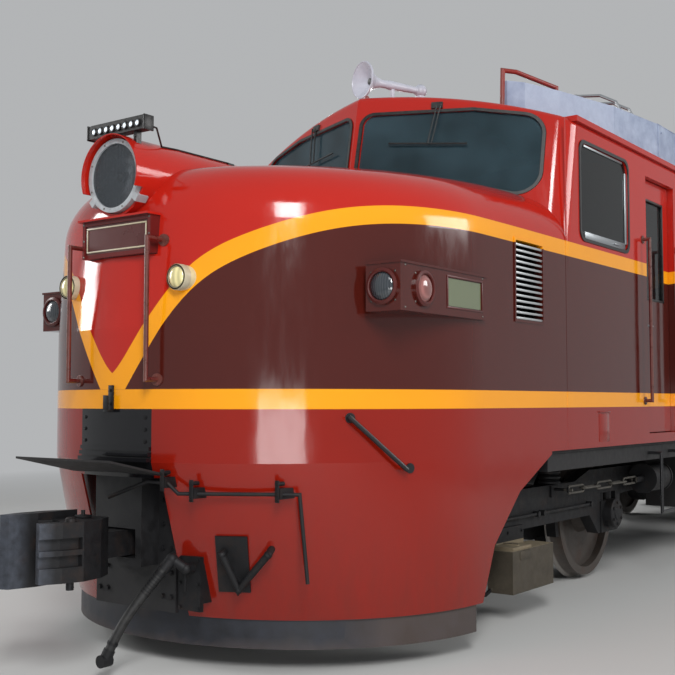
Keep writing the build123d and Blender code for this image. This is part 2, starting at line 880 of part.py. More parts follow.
def axle_box():
    """Left axle box between its pedestals, with end cover and spring."""
    x = (frame_inner - 10, frame_inner + frame_thickness + 10)
    box = block(x, (-axlebox_half, axlebox_half), (pedestal_bottom, 700))
    box += rod_x((x[1], axlebox_outer), 0, axle_z, 125)
    bore = rod_x((frame_inner - 50, axlebox_outer - journal_end_gap + 10), 0, axle_z, journal_radius + journal_play)
    box -= bore
    for y in (-90, 90):
        box += rod_z(frame_inner + frame_thickness / 2, y, (700, 770), 40)
    return box


def brake_shoe(sign):
    """Brake block and hanger on one side of the left wheel."""
    tread = wheel_radius + shoe_gap
    x = (wheel_inner + 40, wheel_inner + wheel_width - 10)
    ring = rod_x(x, 0, 0, tread + shoe_thickness) - rod_x(x, 0, 0, tread)
    ring &= block((0, 2000), (sign * tread * 0.5, sign * 900) if sign > 0 else (-900, -tread * 0.5), (-170, 230))
    shoe = Pos(0, 0, axle_z) * ring
    y = sign * (tread + shoe_thickness + 15)
    hanger = block((x[0] + 20, x[0] + 60), (y - 25, y + 25), (axle_z + 60, axle_z + 270))
    hanger += rod_x((x[0] + 20, frame_inner), y, axle_z + 240, 22)
    hanger += block((x[0] + 20, x[1] - 20), (min(y, sign * tread) , max(y, sign * tread)), (axle_z + 60, axle_z + 130))
    return shoe + (hanger - Pos(0, 0, axle_z) * rod_x((0, 2000), 0, 0, tread))


def sand_box():
    """Left sand box under the side member, with its lid."""
    box = block((1150, 1350), (-810, -160), (210, 510))
    box += block((1170, 1330), (-760, -480), (510, 530))
    box += block((1150, 1162), (-700, -270), (500, 640))
    box += block((frame_inner + frame_thickness, 1162), (-700, -270), (620, 640))
    return box


def brake_cylinder():
    """Brake cylinder on the inner end of the left side member, with its rod and fork."""
    x, z = cylinder_x, cylinder_z
    flange = x - frame_inner - frame_thickness
    body = rod_y(x, (cylinder_front, cylinder_rear), z, cylinder_radius)
    body += rod_y(x, (cylinder_front - 20, cylinder_front), z, flange)
    body += rod_y(x, (cylinder_rear - 20, cylinder_rear), z, flange)
    body += rod_y(x, (chain_rear + 60, cylinder_front), z, 26)
    fork = block((x - 26, x + 26), (chain_rear - 22, chain_rear + 70), (z - 22, z + 22))
    fork -= block((x - chain_wire - 4, x + chain_wire + 4), (chain_rear - 30, chain_rear + 44), (z - 30, z + 30))
    body += fork
    return body + rod_x((x - 30, x + 30), chain_rear, z, chain_pin)


def chain_link(length):
    """Long chain link along Y that opens to the side."""
    bend = chain_width / 2 - chain_wire
    half = length / 2 - chain_width / 2
    ring = Rot(0, 90, 0) * Torus(bend, chain_wire)
    reach = chain_width
    link = rod_y(0, (-half, half), bend, chain_wire) + rod_y(0, (-half, half), -bend, chain_wire)
    link += Pos(0, half, 0) * (ring & block((-reach, reach), (0, reach), (-reach, reach)))
    link += Pos(0, -half, 0) * (ring & block((-reach, reach), (-reach, 0), (-reach, reach)))
    return link


def brake_chain():
    """Links from the pin on the left side member to the fork of the brake cylinder."""
    # Each link gives up two wires to each neighbour, and the end links a wire and a pin
    between = 4 * chain_wire + chain_play
    at_pins = 2 * (2 * chain_wire + chain_pin + chain_play)
    span = chain_rear - chain_front
    length = (span + (chain_links - 1) * between + at_pins) / chain_links
    first = chain_front - at_pins / 2 + length / 2
    links = []
    for index in range(chain_links):
        turn = Rot(0, 90 * (index % 2), 0)
        links.append(Pos(cylinder_x, first + index * (length - between), cylinder_z) * turn * chain_link(length))
    return links


def chain_bracket():
    """Bracket and pin on the left side member for the first link."""
    face = frame_inner + frame_thickness
    bracket = block((face, face + 14), (chain_front - 60, chain_front + 60), (cylinder_z - 60, cylinder_z + 30))
    return bracket + rod_x((face, cylinder_x + 30), chain_front, cylinder_z, chain_pin)


def bolster_spring():
    """Coil spring between side member and bolster, its turns as ridges."""
    low = 900.0
    high = bolster_bottom - bolster_gap
    pitch = (high - low) / spring_turns
    points = [(0, low), (spring_radius - spring_wire, low)]
    for turn in range(spring_turns):
        z = low + turn * pitch
        points += [(spring_radius, z + pitch * 0.25), (spring_radius, z + pitch * 0.6)]
        points += [(spring_radius - spring_wire, z + pitch)]
    points += [(0, high)]
    face = Plane.XZ * make_face(Polyline(*points, close=True))
    return revolve(face, axis=Axis.Z)


def bogie_gear():
    """Axle boxes, springs, brakes and sand boxes of one bogie."""
    parts = []
    for y in (-wheel_base / 2, wheel_base / 2):
        parts += both_sides(Pos(0, y, 0) * axle_box())
        for sign in (-1, 1):
            parts += both_sides(Pos(0, y, 0) * brake_shoe(sign))
    parts += both_sides(sand_box())
    parts += both_sides(brake_cylinder()) + both_sides(chain_bracket())
    for link in brake_chain():
        parts += both_sides(link)
    for y in (-330, 330):
        parts += both_sides(Pos(frame_inner + frame_thickness / 2, y, 0) * bolster_spring())
    return parts


def traction_motor():
    """Axle-hung motor ahead of the transom, with its gear case."""
    axle = wheel_base / 2
    y = axle - motor_offset
    motor = rod_x((-motor_half, motor_half), y, axle_z + 12, motor_radius)
    for x in ((-motor_half, -motor_half + 150), (motor_half - 150, motor_half)):
        motor += rod_x(x, axle, axle_z, 150)
        motor += block(x, (y, axle), (axle_z - 130, axle_z + 130))
    motor += block((-150, 150), (transom_half, y), (650, 770))
    case_x = (570, 700)
    case = rod_x(case_x, axle, axle_z, 380) + rod_x(case_x, y, axle_z, 210)
    case += block(case_x, (y, axle), (axle_z - 200, axle_z + 200))
    motor += case + rod_x((motor_half, 570), y, axle_z + 12, 120)
    return motor - rod_x((-1000, 1000), axle, axle_z, axle_radius + journal_play)


def traction_motors():
    """The two motors of one bogie."""
    motor = traction_motor()
    return [motor, Rot(0, 0, 180) * motor]


def wheelset():
    """Axle with its two flanged wheels."""
    i, o = wheel_inner, wheel_inner + wheel_width
    rim = wheel_radius - 75
    hub_out = i + hub_width
    profile = (
        (i - 20, axle_radius), (i - 20, hub_radius), (i + 40, hub_radius + 40), (i + 40, rim), (i, rim),
        (i, wheel_radius + flange_height - 10), (i + 10, wheel_radius + flange_height),
        (i + 22, wheel_radius + flange_height - 6), (i + 36, wheel_radius), (o, wheel_radius - 6),
        (o, rim), (i + 70, rim), (i + 70, hub_radius + 40), (hub_out, hub_radius), (hub_out, axle_radius),
    )
    half = make_face(Polyline(*profile, close=True))
    wheel = revolve(half, axis=Axis.X)
    journal = axlebox_outer - journal_end_gap
    set_ = rod_x((-hub_out, hub_out), 0, 0, axle_radius)
    set_ += rod_x((-journal, journal), 0, 0, journal_radius)
    for side in both_sides(wheel):
        set_ += side
    return set_


def panto_base():
    """Insulated frame on the roof that carries the pantograph's pivots."""
    frame_z = panto_base_z - 80
    bars = block((-arm_lower_half - 60, arm_lower_half + 60), (-330, -270), (frame_z, frame_z + 40))
    bars += block((-arm_lower_half - 60, arm_lower_half + 60), (270, 330), (frame_z, frame_z + 40))
    for x in (-arm_lower_half - 40, arm_lower_half + 40):
        bars += block((x - 25, x + 25), (-900, 900), (frame_z, frame_z + 40))
        for y in (-arm_pivot_half, arm_pivot_half):
            ear = block((x - 8, x + 8), (y - 30, y + 30), (frame_z + 40, panto_base_z + 30))
            bars += ear - rod_x((x - 20, x + 20), y, panto_base_z, pin_radius + pin_play)
        for y in (-800, 800):
            bars += rod_z(x, y, (3800, frame_z - insulator_height), insulator_shed)
            bars += Pos(x, y, frame_z - insulator_height) * insulator()
    return bars


def insulator():
    """Ribbed insulator standing on its foot."""
    pitch = insulator_height / insulator_sheds
    points = [(0, 0)]
    for shed in range(insulator_sheds):
        z = shed * pitch
        points += [(insulator_core, z), (insulator_core, z + pitch * 0.35)]
        points += [(insulator_shed, z + pitch * 0.5), (insulator_shed, z + pitch * 0.62)]
        points += [(insulator_core, z + pitch * 0.85)]
    points += [(insulator_core, insulator_height), (0, insulator_height)]
    face = Plane.XZ * make_face(Polyline(*points, close=True))
    return revolve(face, axis=Axis.Z)


def panto_base_on_roof():
    """The pantograph's base frame with its feet cut to the roof."""
    y = back(nose_length + 500)
    return at_panto(panto_base()) - body_length(-roof_fit, deck_top, (y, -y))


def arm_ends(side):
    """Rest places of a pantograph side's base pivot, knee and top pivot."""
    rise = math.radians(arm_rest_deg)
    y = side * arm_pivot_half
    knee_y = y + side * arm_length * math.cos(rise)
    knee_z = panto_base_z + arm_length * math.sin(rise)
    return (y, panto_base_z), (knee_y, knee_z), (y, panto_base_z + 2 * arm_length * math.sin(rise))


def eye(x, y, z, hole):
    """Flat eye on an arm at a pivot."""
    ring = rod_x((x - eye_thickness / 2, x + eye_thickness / 2), y, z, eye_radius)
    if hole:
        ring -= rod_x((x - 50, x + 50), y, z, pin_radius + pin_play)
    return ring


def lower_arm(side):
    """Lower arm pair of one side with its pivot shaft and knee pins."""
    base, knee, top = arm_ends(side)
    outer = arm_lower_half
    arm = rod_x((-outer - 60, outer + 60), base[0], base[1], pin_radius)
    arm += rod_x((-outer, outer), base[0], base[1], arm_tube)
    for x in (-outer, outer):
        arm += pipe(((x, base[0], base[1]), (x, knee[0], knee[1])), arm_tube * 0.8)
        arm += eye(x, knee[0], knee[1], False)
        inward = -60 if x > 0 else 60
        arm += rod_x((min(x, x + inward), max(x, x + inward)), knee[0], knee[1], pin_radius)
    return arm


def upper_arm(side):
    """Upper arm pair of one side from the knees to the head."""
    base, knee, top = arm_ends(side)
    outer = arm_upper_half
    inner = arm_top_half
    arm = rod_x((-inner, inner), top[0], top[1], arm_tube * 0.7)
    near = 25 / arm_length
    start = (knee[0] + (top[0] - knee[0]) * near, knee[1] + (top[1] - knee[1]) * near)
    for sign in (-1, 1):
        x = sign * outer
        arm += eye(x, knee[0], knee[1], True)
        arm += pipe(((x, start[0], start[1]), (sign * inner, top[0], top[1])), arm_tube * 0.4)
    arm += rod_x((-inner - 50, inner + 50), top[0], top[1], pin_radius)
    return arm


def panto_head():
    """Collector head: two strips with down-turned horns on a small frame."""
    top = arm_ends(1)[2]
    z = top[1]
    parts = []
    for x in (-arm_top_half - 35, arm_top_half + 35):
        bar = block((x - 8, x + 8), (-arm_pivot_half - 45, arm_pivot_half + 45), (z - 30, z + 60))
        for y in (-arm_pivot_half, arm_pivot_half):
            hole = pin_radius + (pin_play if y > 0 else open_pivot_play)
            bar -= rod_x((x - 20, x + 20), y, z, hole)
        parts.append(bar)
    head = parts[0] + parts[1]
    for y in (-170, 170):
        strip = block((-520, 520), (y - 22, y + 22), (z + 60, z + 90))
        horn = pipe(((520, y, z + 74), (760, y, z + 40), (920, y, z - 50), (bow_half, y, z - 170)), 15)
        head += strip
        for side in both_sides(horn):
            head += side
    return head


def headlight():
    """Headlight rim with its bowl, set in the hood on the nose."""
    front = back(hood_front - 30)
    seat = back(hood_front + 55)
    rim = rod_y(0, (front, seat), headlight_z, ring_radius)
    for angle in headlight_ears:
        ear = Pos(0, 0, headlight_z) * Rot(0, angle, 0) * block((ring_radius - 20, ring_radius + 34), (front, seat), (-22, 22))
        rim += ear - rod_y(0, (back(hood_front), seat + 1), headlight_z, hood_radius)
    return rim - rod_y(0, (front - 10, seat - 15), headlight_z, lens_radius)


def round_lamp():
    """Round lamp on the face of the nose."""
    front = back(round_lamp_back - round_lamp_proud)
    lamp = rod_y(round_lamp_x, (front, back(300)), round_lamp_z, round_lamp_radius)
    lamp -= nose_block()
    return lamp - rod_y(round_lamp_x, (front - 10, front + 14), round_lamp_z, round_lamp_radius - 10)


def on_marker(face, share, z):
    """Plane on an outer face of the marker box, looking outwards."""
    start = Vector(MARKER_BOX[face][0], back(MARKER_BOX[face][1]), z)
    end = Vector(MARKER_BOX[face + 1][0], back(MARKER_BOX[face + 1][1]), z)
    along = end - start
    outwards = Vector(along.Y, -along.X, 0)
    return Plane(origin=start + along * share, x_dir=along, z_dir=outwards)


def marker_box():
    """Box on the flank of the nose with two lens rings and a number window."""
    plan = [(x, back(d)) for x, d in MARKER_BOX]
    box = plan_profile(plan, (marker_bottom, marker_top))
    lid = [(x + 8, back(d) - 8) for x, d in MARKER_BOX[1:3]]
    lid += [(x + 8, back(d) + 8) for x, d in MARKER_BOX[3:]] + [(MARKER_BOX[0][0], back(MARKER_BOX[0][1]))]
    box += plan_profile(lid, (marker_top - 10, marker_top + 4))
    middle = (marker_bottom + marker_top) / 2
    for face, share in ((1, front_lens_share), (2, side_lens_share)):
        plane = on_marker(face, share, middle)
        box += extrude(plane * Circle(marker_bezel), amount=marker_proud)
        box -= extrude(plane * Circle(marker_lens), amount=marker_proud + 5)
    low, high = number_window_z
    first, last = number_window_shares
    length = math.hypot(MARKER_BOX[3][0] - MARKER_BOX[2][0], MARKER_BOX[3][1] - MARKER_BOX[2][1])
    window = on_marker(2, (first + last) / 2, (low + high) / 2)
    box -= extrude(window * Rectangle(length * (last - first), high - low), amount=-number_window_depth)
    return largest(box - nose_block())


def number_board():
    """Blank number board with its rim and small hood, under the headlight."""
    low, high = number_board_z
    half = number_board_half
    front = back(number_board_front)
    board = block((-half, half), (front, back(200)), (low, high))
    rim = number_board_rim
    board -= block((-half + rim, half - rim), (front - 10, front + 12), (low + rim, high - rim))
    board += block((-half - 10, half + 10), (front - number_board_hood, back(200)), (high, high + 14))
    hood = rod_y(0, (back(hood_front) - 100, back(hood_rear)), headlight_z, hood_radius + 2)
    return largest(board - nose_block() - hood)


def lamp_lenses():
    """Headlight, round lamp and marker lenses of one end."""
    front = back(hood_front - 18)
    lenses = [rod_y(0, (front, front + 10), headlight_z, lens_radius - glass_fit)]
    lamp_front = back(round_lamp_back - round_lamp_proud)
    small = rod_y(round_lamp_x, (lamp_front + 4, lamp_front + 14), round_lamp_z, round_lamp_radius - 10 - glass_fit)
    lenses += both_sides(small)
    for face, share in ((1, front_lens_share), (2, side_lens_share)):
        plane = on_marker(face, share, (marker_bottom + marker_top) / 2)
        lenses += both_sides(extrude(plane * Circle(marker_lens - glass_fit), amount=marker_proud * 0.6))
    return lenses


def light_bar():
    """Narrow light bar on two brackets above the headlight."""
    z = (light_bar_z, light_bar_z + light_bar_height)
    bar = block((-light_bar_half, light_bar_half), (back(0), back(70)), z)
    for side in both_sides(block((140, 165), (back(20), back(60)), (headlight_z + 150, light_bar_z))):
        bar += side
    return bar - rod_y(0, (back(hood_front), back(hood_rear)), headlight_z, hood_radius)


def on_nose(points):
    """Points given behind the nose, in the locomotive's own frame."""
    return [(x, back(d), z) for x, d, z in points]


def handrails():
    """Rails on the nose face and corners and beside the cab doors of one end."""
    solid = nose_block() + skirt_shell()
    rails = []
    rails += both_sides(pipe(on_nose(NOSE_RAIL), rail_radius) - solid)
    rails += both_sides(largest(pipe(on_nose(CORNER_GRAB), rail_radius) - solid))
    x = half_width
    out = x + door_rail_standoff
    for d in (door_front - portal_rim - 30, door_rear + portal_rim - 10):
        rail = pipe(
            ((x, back(d), door_rail_top), (out, back(d), door_rail_top),
             (out, back(d), door_rail_bottom), (x, back(d), door_rail_bottom)),
            rail_radius,
        )
        rails += both_sides(rail)
    step_x = x - sill_inset
    front = back(door_front + 100)
    rear = back(door_rear - 100)
    step = pipe(
        ((step_x, front, 1120), (out, front, 1120), (out, front, step_rail_bottom),
         (out, rear, step_rail_bottom), (out, rear, 1120), (step_x, rear, 1120)),
        rail_radius,
    )
    return rails + both_sides(step)


def end_platform():
    """Sloping plate above the coupler."""
    rear = back(60)
    front = back(platform_front)
    points = (
        (rear, platform_z), (rear, platform_z + platform_thickness),
        (front, platform_z + platform_rise + platform_thickness), (front, platform_z + platform_rise),
    )
    plate = side_profile(points, (-platform_half, platform_half))
    return largest(plate - nose())


def uncoupling_lever(nose_shape):
    """Lever across the face of the nose in two brackets."""
    lever = pipe(on_nose(LEVER), lever_radius)
    for x, d, z in LEVER_BRACKETS:
        lever += block((x - 20, x + 20), (back(d) - 22, back(d + 250)), (z - 26, z + 34))
    return largest(lever - nose_shape)


def brake_hose():
    """Left brake hose from its cock to its coupling head."""
    points = [Vector(x, back(d), z) for x, d, z in BRAKE_HOSE]
    radii = []
    for a, b, c in zip(points, points[1:], points[2:]):
        turn = math.radians((b - a).get_angle(c - b))
        run = min((b - a).length, (c - b).length)
        radii.append(0.45 * run / math.tan(turn / 2))
    print("hose radii", [round(r) for r in radii])
    path = FilletPolyline(*points, radius=radii)
    section = Plane(origin=path @ 0, z_dir=path % 0) * Circle(hose_radius)
    hose = sweep(section, path=path)
    print("hose length", round(path.length), "volume ratio", hose.volume / (math.pi * hose_radius**2 * path.length))
    return hose


def along_hose(first, second):
    """Plane at the first of two hose points, looking towards the second."""
    start = Vector(first[0], back(first[1]), first[2])
    end = Vector(second[0], back(second[1]), second[2])
    return Plane(origin=start, z_dir=end - start)


def air_cock():
    """Left brake cock: plate on the skirt, pipe and elbow round to the hose."""
    mouth = along_hose(BRAKE_HOSE[0], BRAKE_HOSE[1])
    start = Vector(BRAKE_HOSE[0][0], back(BRAKE_HOSE[0][1]), BRAKE_HOSE[0][2])
    bend = start - mouth.z_dir * 75
    low = Vector(bend.X + 70, bend.Y + 45, bend.Z - 55)
    (x0, x1), (d0, d1), z = COCK_PLATE
    body = extrude(mouth * Circle(hose_radius + 6), amount=-75)
    body += Pos(bend.X, bend.Y, bend.Z) * Sphere(hose_radius + 8)
    body += pipe((tuple(bend), tuple(low), (low.X, back(d1), low.Z)), hose_radius)
    body += Pos(low.X, low.Y, low.Z) * Sphere(hose_radius + 4)
    body += block((x0, x1), (back(d0), back(d1)), z)
    body += block((x0 + 20, x0 + 60), (back(d1), back(d1 + 200)), (z[0] + 40, z[1] - 40))
    body += block((x1 - 60, x1 - 20), (back(d1), back(d1 + 200)), (z[0] + 40, z[1] - 40))
    return largest(body - skirt_shell())


def air_connection():
    """Plate on the left of the skirt with a bent air pipe."""
    drop = (deck_top - air_plate_z) / (deck_top - skirt_bottom)
    depth = nose_round - skirt_setback * drop
    corners = []
    for x in air_plate_x:
        corners.append(Vector(x, back(nose_round - depth * math.sqrt(1 - (x / half_width) ** 2)), air_plate_z))
    along = (corners[1] - corners[0]).normalized()
    up = Vector(0, -skirt_setback, deck_top - skirt_bottom).normalized()
    outwards = along.cross(up).normalized()
    plane = Plane(origin=(corners[0] + corners[1]) * 0.5 + outwards * 6, x_dir=along, z_dir=outwards)
    width, height, thickness = air_plate
    shape = plane * Pos(0, 0, thickness / 2) * Box(width, height, thickness)
    shape += plane * Pos(0, 0, -thickness / 2) * Box(width * 0.6, height * 0.6, thickness * 2)
    places = [plane.from_local_coords(Vector(*point)) for point in AIR_PIPE]
    shape += pipe([tuple(place) for place in places], air_pipe_radius)
    for place in places[1:4]:
        shape += Pos(*tuple(place)) * Sphere(air_pipe_radius * 1.15)
    return largest(shape - skirt_shell())


def glad_hand():
    """Coupling head at the lower end of the left brake hose."""
    end = along_hose(BRAKE_HOSE[-1], BRAKE_HOSE[-2])
    head = extrude(end * Circle(hose_radius + 6), amount=-60)
    tip = end.origin - end.z_dir * 65
    knob = Pos(tip.X, tip.Y, tip.Z) * Rot(90, 0, 0) * Cylinder(36, 70)
    return head + (knob - extrude(end * Circle(hose_radius * 2), amount=60))


def horn():
    """Trumpet horn lying on the cab roof."""
    bell = Vector(horn_bell[0], back(horn_bell[1]), horn_bell[2])
    tail = Vector(horn_tail[0], back(horn_tail[1]), horn_tail[2])
    length = (bell - tail).length
    t = horn_throat_radius
    flare = ThreePointArc((t + 12, length * 0.55), (t + 40, length * 0.86), (horn_bell_radius, length))
    outline = flare + Polyline(
        (horn_bell_radius, length), (horn_bell_radius, length + 12), (0, length + 12), (0, 0), (t, 0),
        (t + 12, length * 0.55),
    )
    face = Plane.XZ * make_face(outline)
    trumpet = revolve(face, axis=Axis.Z)
    mouth = (Align.CENTER, Align.CENTER, Align.MAX)
    hollow = Pos(0, 0, length + 14) * Cone(t * 0.7, horn_bell_radius - 10, 80, align=mouth)
    placed = Plane(origin=tail, z_dir=bell - tail) * (trumpet - hollow)
    foot = rod_z(tail.X, tail.Y, (3700, tail.Z), 34)
    middle = tail + (bell - tail) * 0.5
    foot += rod_z(middle.X, middle.Y, (3700, middle.Z), 18)
    foot += Pos(tail.X, tail.Y, tail.Z) * Sphere(55)
    return placed + foot - body_length(0, deck_top, (back(2100), back(cab_rear)))


def wiper():
    """Double-arm wiper on the left windscreen, hung from above."""
    plane = pane_planes(-wiper_stand_off)[0]
    top = Vector(*WIPER_TOP)
    low = Vector(*WIPER_LOW)
    places = []
    for point in (top, low):
        reach = (plane.origin - Vector(point.X, 0, point.Z)).dot(plane.z_dir) / plane.z_dir.Y
        places.append(Vector(point.X, reach, point.Z))
    shift = Vector(wiper_rod_spacing, 0, 0)
    arm = pipe((tuple(places[0]), tuple(places[1])), wiper_rod_radius)
    arm += pipe((tuple(places[0] + shift), tuple(places[1] + shift)), wiper_rod_radius)
    across = Vector(*WIPER_BLADE)
    reach = across.dot(plane.z_dir) / plane.z_dir.Y
    along = Vector(across.X, -reach, across.Z)
    arm += pipe((tuple(places[1] - along), tuple(places[1] + along)), wiper_blade_radius)
    foot = Rectangle(*WIPER_FOOT)
    arm += extrude(Plane(origin=places[0], z_dir=plane.z_dir) * foot, amount=-wiper_stand_off - 10)
    return arm - cab_outer()


def underfloor_gear():
    """Battery boxes and air reservoirs hung between the bogies."""
    pieces = []
    high = deck_top - deck_plate - cross_depth
    pieces += both_sides(block((900, 1400), (-1150, 1150), (520, high)))
    tank = rod_x((-780, 780), 420, 820, 210)
    for x in (-560, 560):
        tank += block((x - 20, x + 20), (360, CROSS_MEMBERS[0] + cross_half), (1000, high))
    return pieces + [tank, Rot(0, 0, 180) * tank]


def save(name, shape):
    """Write one node, from a shape or a list of solids that don't touch."""
    if isinstance(shape, list):
        solids = []
        for piece in shape:
            solids += list(piece.solids())
        shape = Compound(children=solids)
    export_step(shape, f"parts/{name}.step")


def turned(shape, angle):
    """A shape, or each of a list, turned about the middle of the locomotive."""
    if isinstance(shape, list):
        return [Rot(0, 0, angle) * piece for piece in shape]
    return Rot(0, 0, angle) * shape


def at_bogie(shape):
    """A bogie piece moved from its own centre to the front bogie's place."""
    if isinstance(shape, list):
        return [Pos(0, -bogie_centre, 0) * piece for piece in shape]
    return Pos(0, -bogie_centre, 0) * shape


def at_panto(shape):
    """A pantograph piece moved to the front pantograph's place."""
    if isinstance(shape, list):
        return [Pos(0, -panto_centre, 0) * piece for piece in shape]
    return Pos(0, -panto_centre, 0) * shape


def main():
    os.makedirs("parts", exist_ok=True)
    save("underframe", underframe())
    save("engine_room", engine_room())
    save("roof_panels", roof_walls())
    nose_shape = nose()
    cab_shape = cab_shell()
    glass_shape = cab_glass()
    door_shape = door()
    end_pieces = {
        "nose": nose_shape,
        "cab": cab_shape,
        "cab_glass": glass_shape,
        "pilot": pilot(),
        "coupler": coupler(),
        "bogie_frame": at_bogie(bogie_frame()),
        "bogie_gear": at_bogie(bogie_gear()),
        "traction_motors": at_bogie(traction_motors()),
        "panto_base": panto_base_on_roof(),
        "panto_lower_a": at_panto(lower_arm(1)),
        "panto_lower_b": at_panto(lower_arm(-1)),
        "panto_upper_a": at_panto(upper_arm(1)),
        "panto_upper_b": at_panto(upper_arm(-1)),
        "panto_head": at_panto(panto_head()),
        "door_left": door_shape,
        "door_right": mirror(door_shape, about=Plane.YZ),
    }
    for piece, shape in end_pieces.items():
        for end, angle in ENDS:
            save(f"{piece}_{end}", turned(shape, angle))
    hose = brake_hose()
    for end, angle in ENDS:
        save(f"brake_hose_{end}", turned(hose, angle))
    lever_shape = uncoupling_lever(nose_shape)
    shared = {
        "headlights": [headlight()] + both_sides(round_lamp()),
        "lamp_lenses": lamp_lenses(),
        "light_bars": [light_bar()],
        "marker_boxes": both_sides(marker_box()) + [number_board()],
        "window_gaskets": window_gaskets(),
        "roof_rails": roof_rails(),
        "handrails": handrails(),
        "end_platforms": [end_platform()],
        "uncoupling_levers": [lever_shape],
        "horns": [horn()],
        "wipers": both_sides(wiper()),
        "air_cocks": [air_cock(), air_connection()],
        "hose_couplings": [glad_hand()],
    }
    for piece, shapes in shared.items():
        save(piece, turned(shapes, 0) + turned(shapes, 180))
    save("underfloor_gear", underfloor_gear())
    desks = [turned(desk(), angle) for end, angle in ENDS]
    save("cab_desks", desks)
    seats = []
    for end, angle in ENDS:
        for x in (-700, 700):
            seats.append(turned(Pos(x, back(nose_length + seat_back), 0) * seat(), angle))
    save("cab_seats", seats)
    for end, angle in ENDS:
        for axle, offset in (("outer", -1), ("inner", 1)):
            place = Pos(0, -bogie_centre + offset * wheel_base / 2, axle_z)
            save(f"wheelset_{end}_{axle}", turned(place * wheelset(), angle))


main()
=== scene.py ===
import math

import bmesh
import bpy
from bpy.props import FloatProperty, FloatVectorProperty, IntProperty, PointerProperty
from mathutils import Matrix, Vector


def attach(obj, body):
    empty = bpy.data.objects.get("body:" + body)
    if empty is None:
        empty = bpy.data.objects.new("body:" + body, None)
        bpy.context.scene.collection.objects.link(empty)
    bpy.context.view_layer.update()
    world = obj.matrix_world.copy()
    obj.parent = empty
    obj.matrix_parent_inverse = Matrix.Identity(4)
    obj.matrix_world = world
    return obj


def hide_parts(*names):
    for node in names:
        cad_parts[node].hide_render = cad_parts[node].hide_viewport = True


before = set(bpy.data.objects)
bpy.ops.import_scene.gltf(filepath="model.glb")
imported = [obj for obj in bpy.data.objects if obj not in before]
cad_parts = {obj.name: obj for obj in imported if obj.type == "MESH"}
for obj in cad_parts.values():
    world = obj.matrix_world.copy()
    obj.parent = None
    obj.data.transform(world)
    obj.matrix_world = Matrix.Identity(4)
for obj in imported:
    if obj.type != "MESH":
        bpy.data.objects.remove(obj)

bl_info = {
    "name": "Locomotive dressing",
    "version": (1, 0, 0),
    "blender": (4, 5, 0),
    "location": "View3D > Sidebar > Locomotive",
    "description": "Finishes, small forms, stage and camera for the electric locomotive",
    "category": "Object",
}

# Lengths are in metres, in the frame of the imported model. The front end faces -Y.
# Distances "behind the nose" are measured along Y from the foremost point of the nose.
# Half length over the noses, half width of the body
HALF_LENGTH = 7.4
HALF_WIDTH = 1.55
# Nose: half length of its elliptic plan, how much shorter that is at the top, height up to which it stands
# upright, height of its top
NOSE_ROUND = 1.72
NOSE_LEAN = 0.11
NOSE_UPRIGHT_TOP = 2.0
NOSE_TOP = 3.268
# Skirt: height of the deck over it, height of its lower edge, how much shorter its plan is there
DECK_TOP = 1.21
SKIRT_BOTTOM = 0.3
SKIRT_SETBACK = 0.27
# Running gear: distance of a bogie's middle from the locomotive's, wheelbase, height of the axles
BOGIE_CENTRE = 4.1
WHEEL_BASE = 2.8
AXLE_Z = 0.588
# Ends and sides, each with the sign that turns or mirrors a shape built for the front end's left side
ENDS = (("front", 1.0), ("rear", -1.0))
SIDES = (("left", 1.0), ("right", -1.0))
# Angle in degrees from which an edge is shown sharp
SHARP_DEG = 38.0


def back(distance):
    """Y of a point a distance behind the front of the nose."""
    return -HALF_LENGTH + distance


def behind(*points):
    """Points given as distance from the middle, distance behind the nose and height."""
    return [Vector((x, back(distance), z)) for x, distance, z in points]


def linear(code):
    """Linear colour from an sRGB hex code."""
    values = [int(code[i:i + 2], 16) / 255 for i in (1, 3, 5)]
    channels = [v / 12.92 if v <= 0.04045 else ((v + 0.055) / 1.055) ** 2.4 for v in values]
    return (*channels, 1.0)


def per_metre(millimetres):
    """How many marks of a size in millimetres fit in a metre, as a pattern's scale."""
    return 1000.0 / millimetres


def nose_depth(z):
    """Half length of the nose's plan ellipse at a height."""
    if z < DECK_TOP:
        return NOSE_ROUND - SKIRT_SETBACK * (DECK_TOP - z) / (DECK_TOP - SKIRT_BOTTOM)
    rise = max(0.0, (z - NOSE_UPRIGHT_TOP) / (NOSE_TOP - NOSE_UPRIGHT_TOP))
    return NOSE_ROUND - NOSE_LEAN * rise


def on_nose(x, z):
    """Point of the nose's face at a distance from the middle and a height, and its outward direction."""
    depth = nose_depth(z)
    behind = depth * math.sqrt(1 - (x / HALF_WIDTH) ** 2)
    outwards = Vector((x / HALF_WIDTH ** 2, -behind / depth ** 2, 0)).normalized()
    return Vector((x, back(NOSE_ROUND - behind), z)), outwards


# Sizes and colours that a user would change

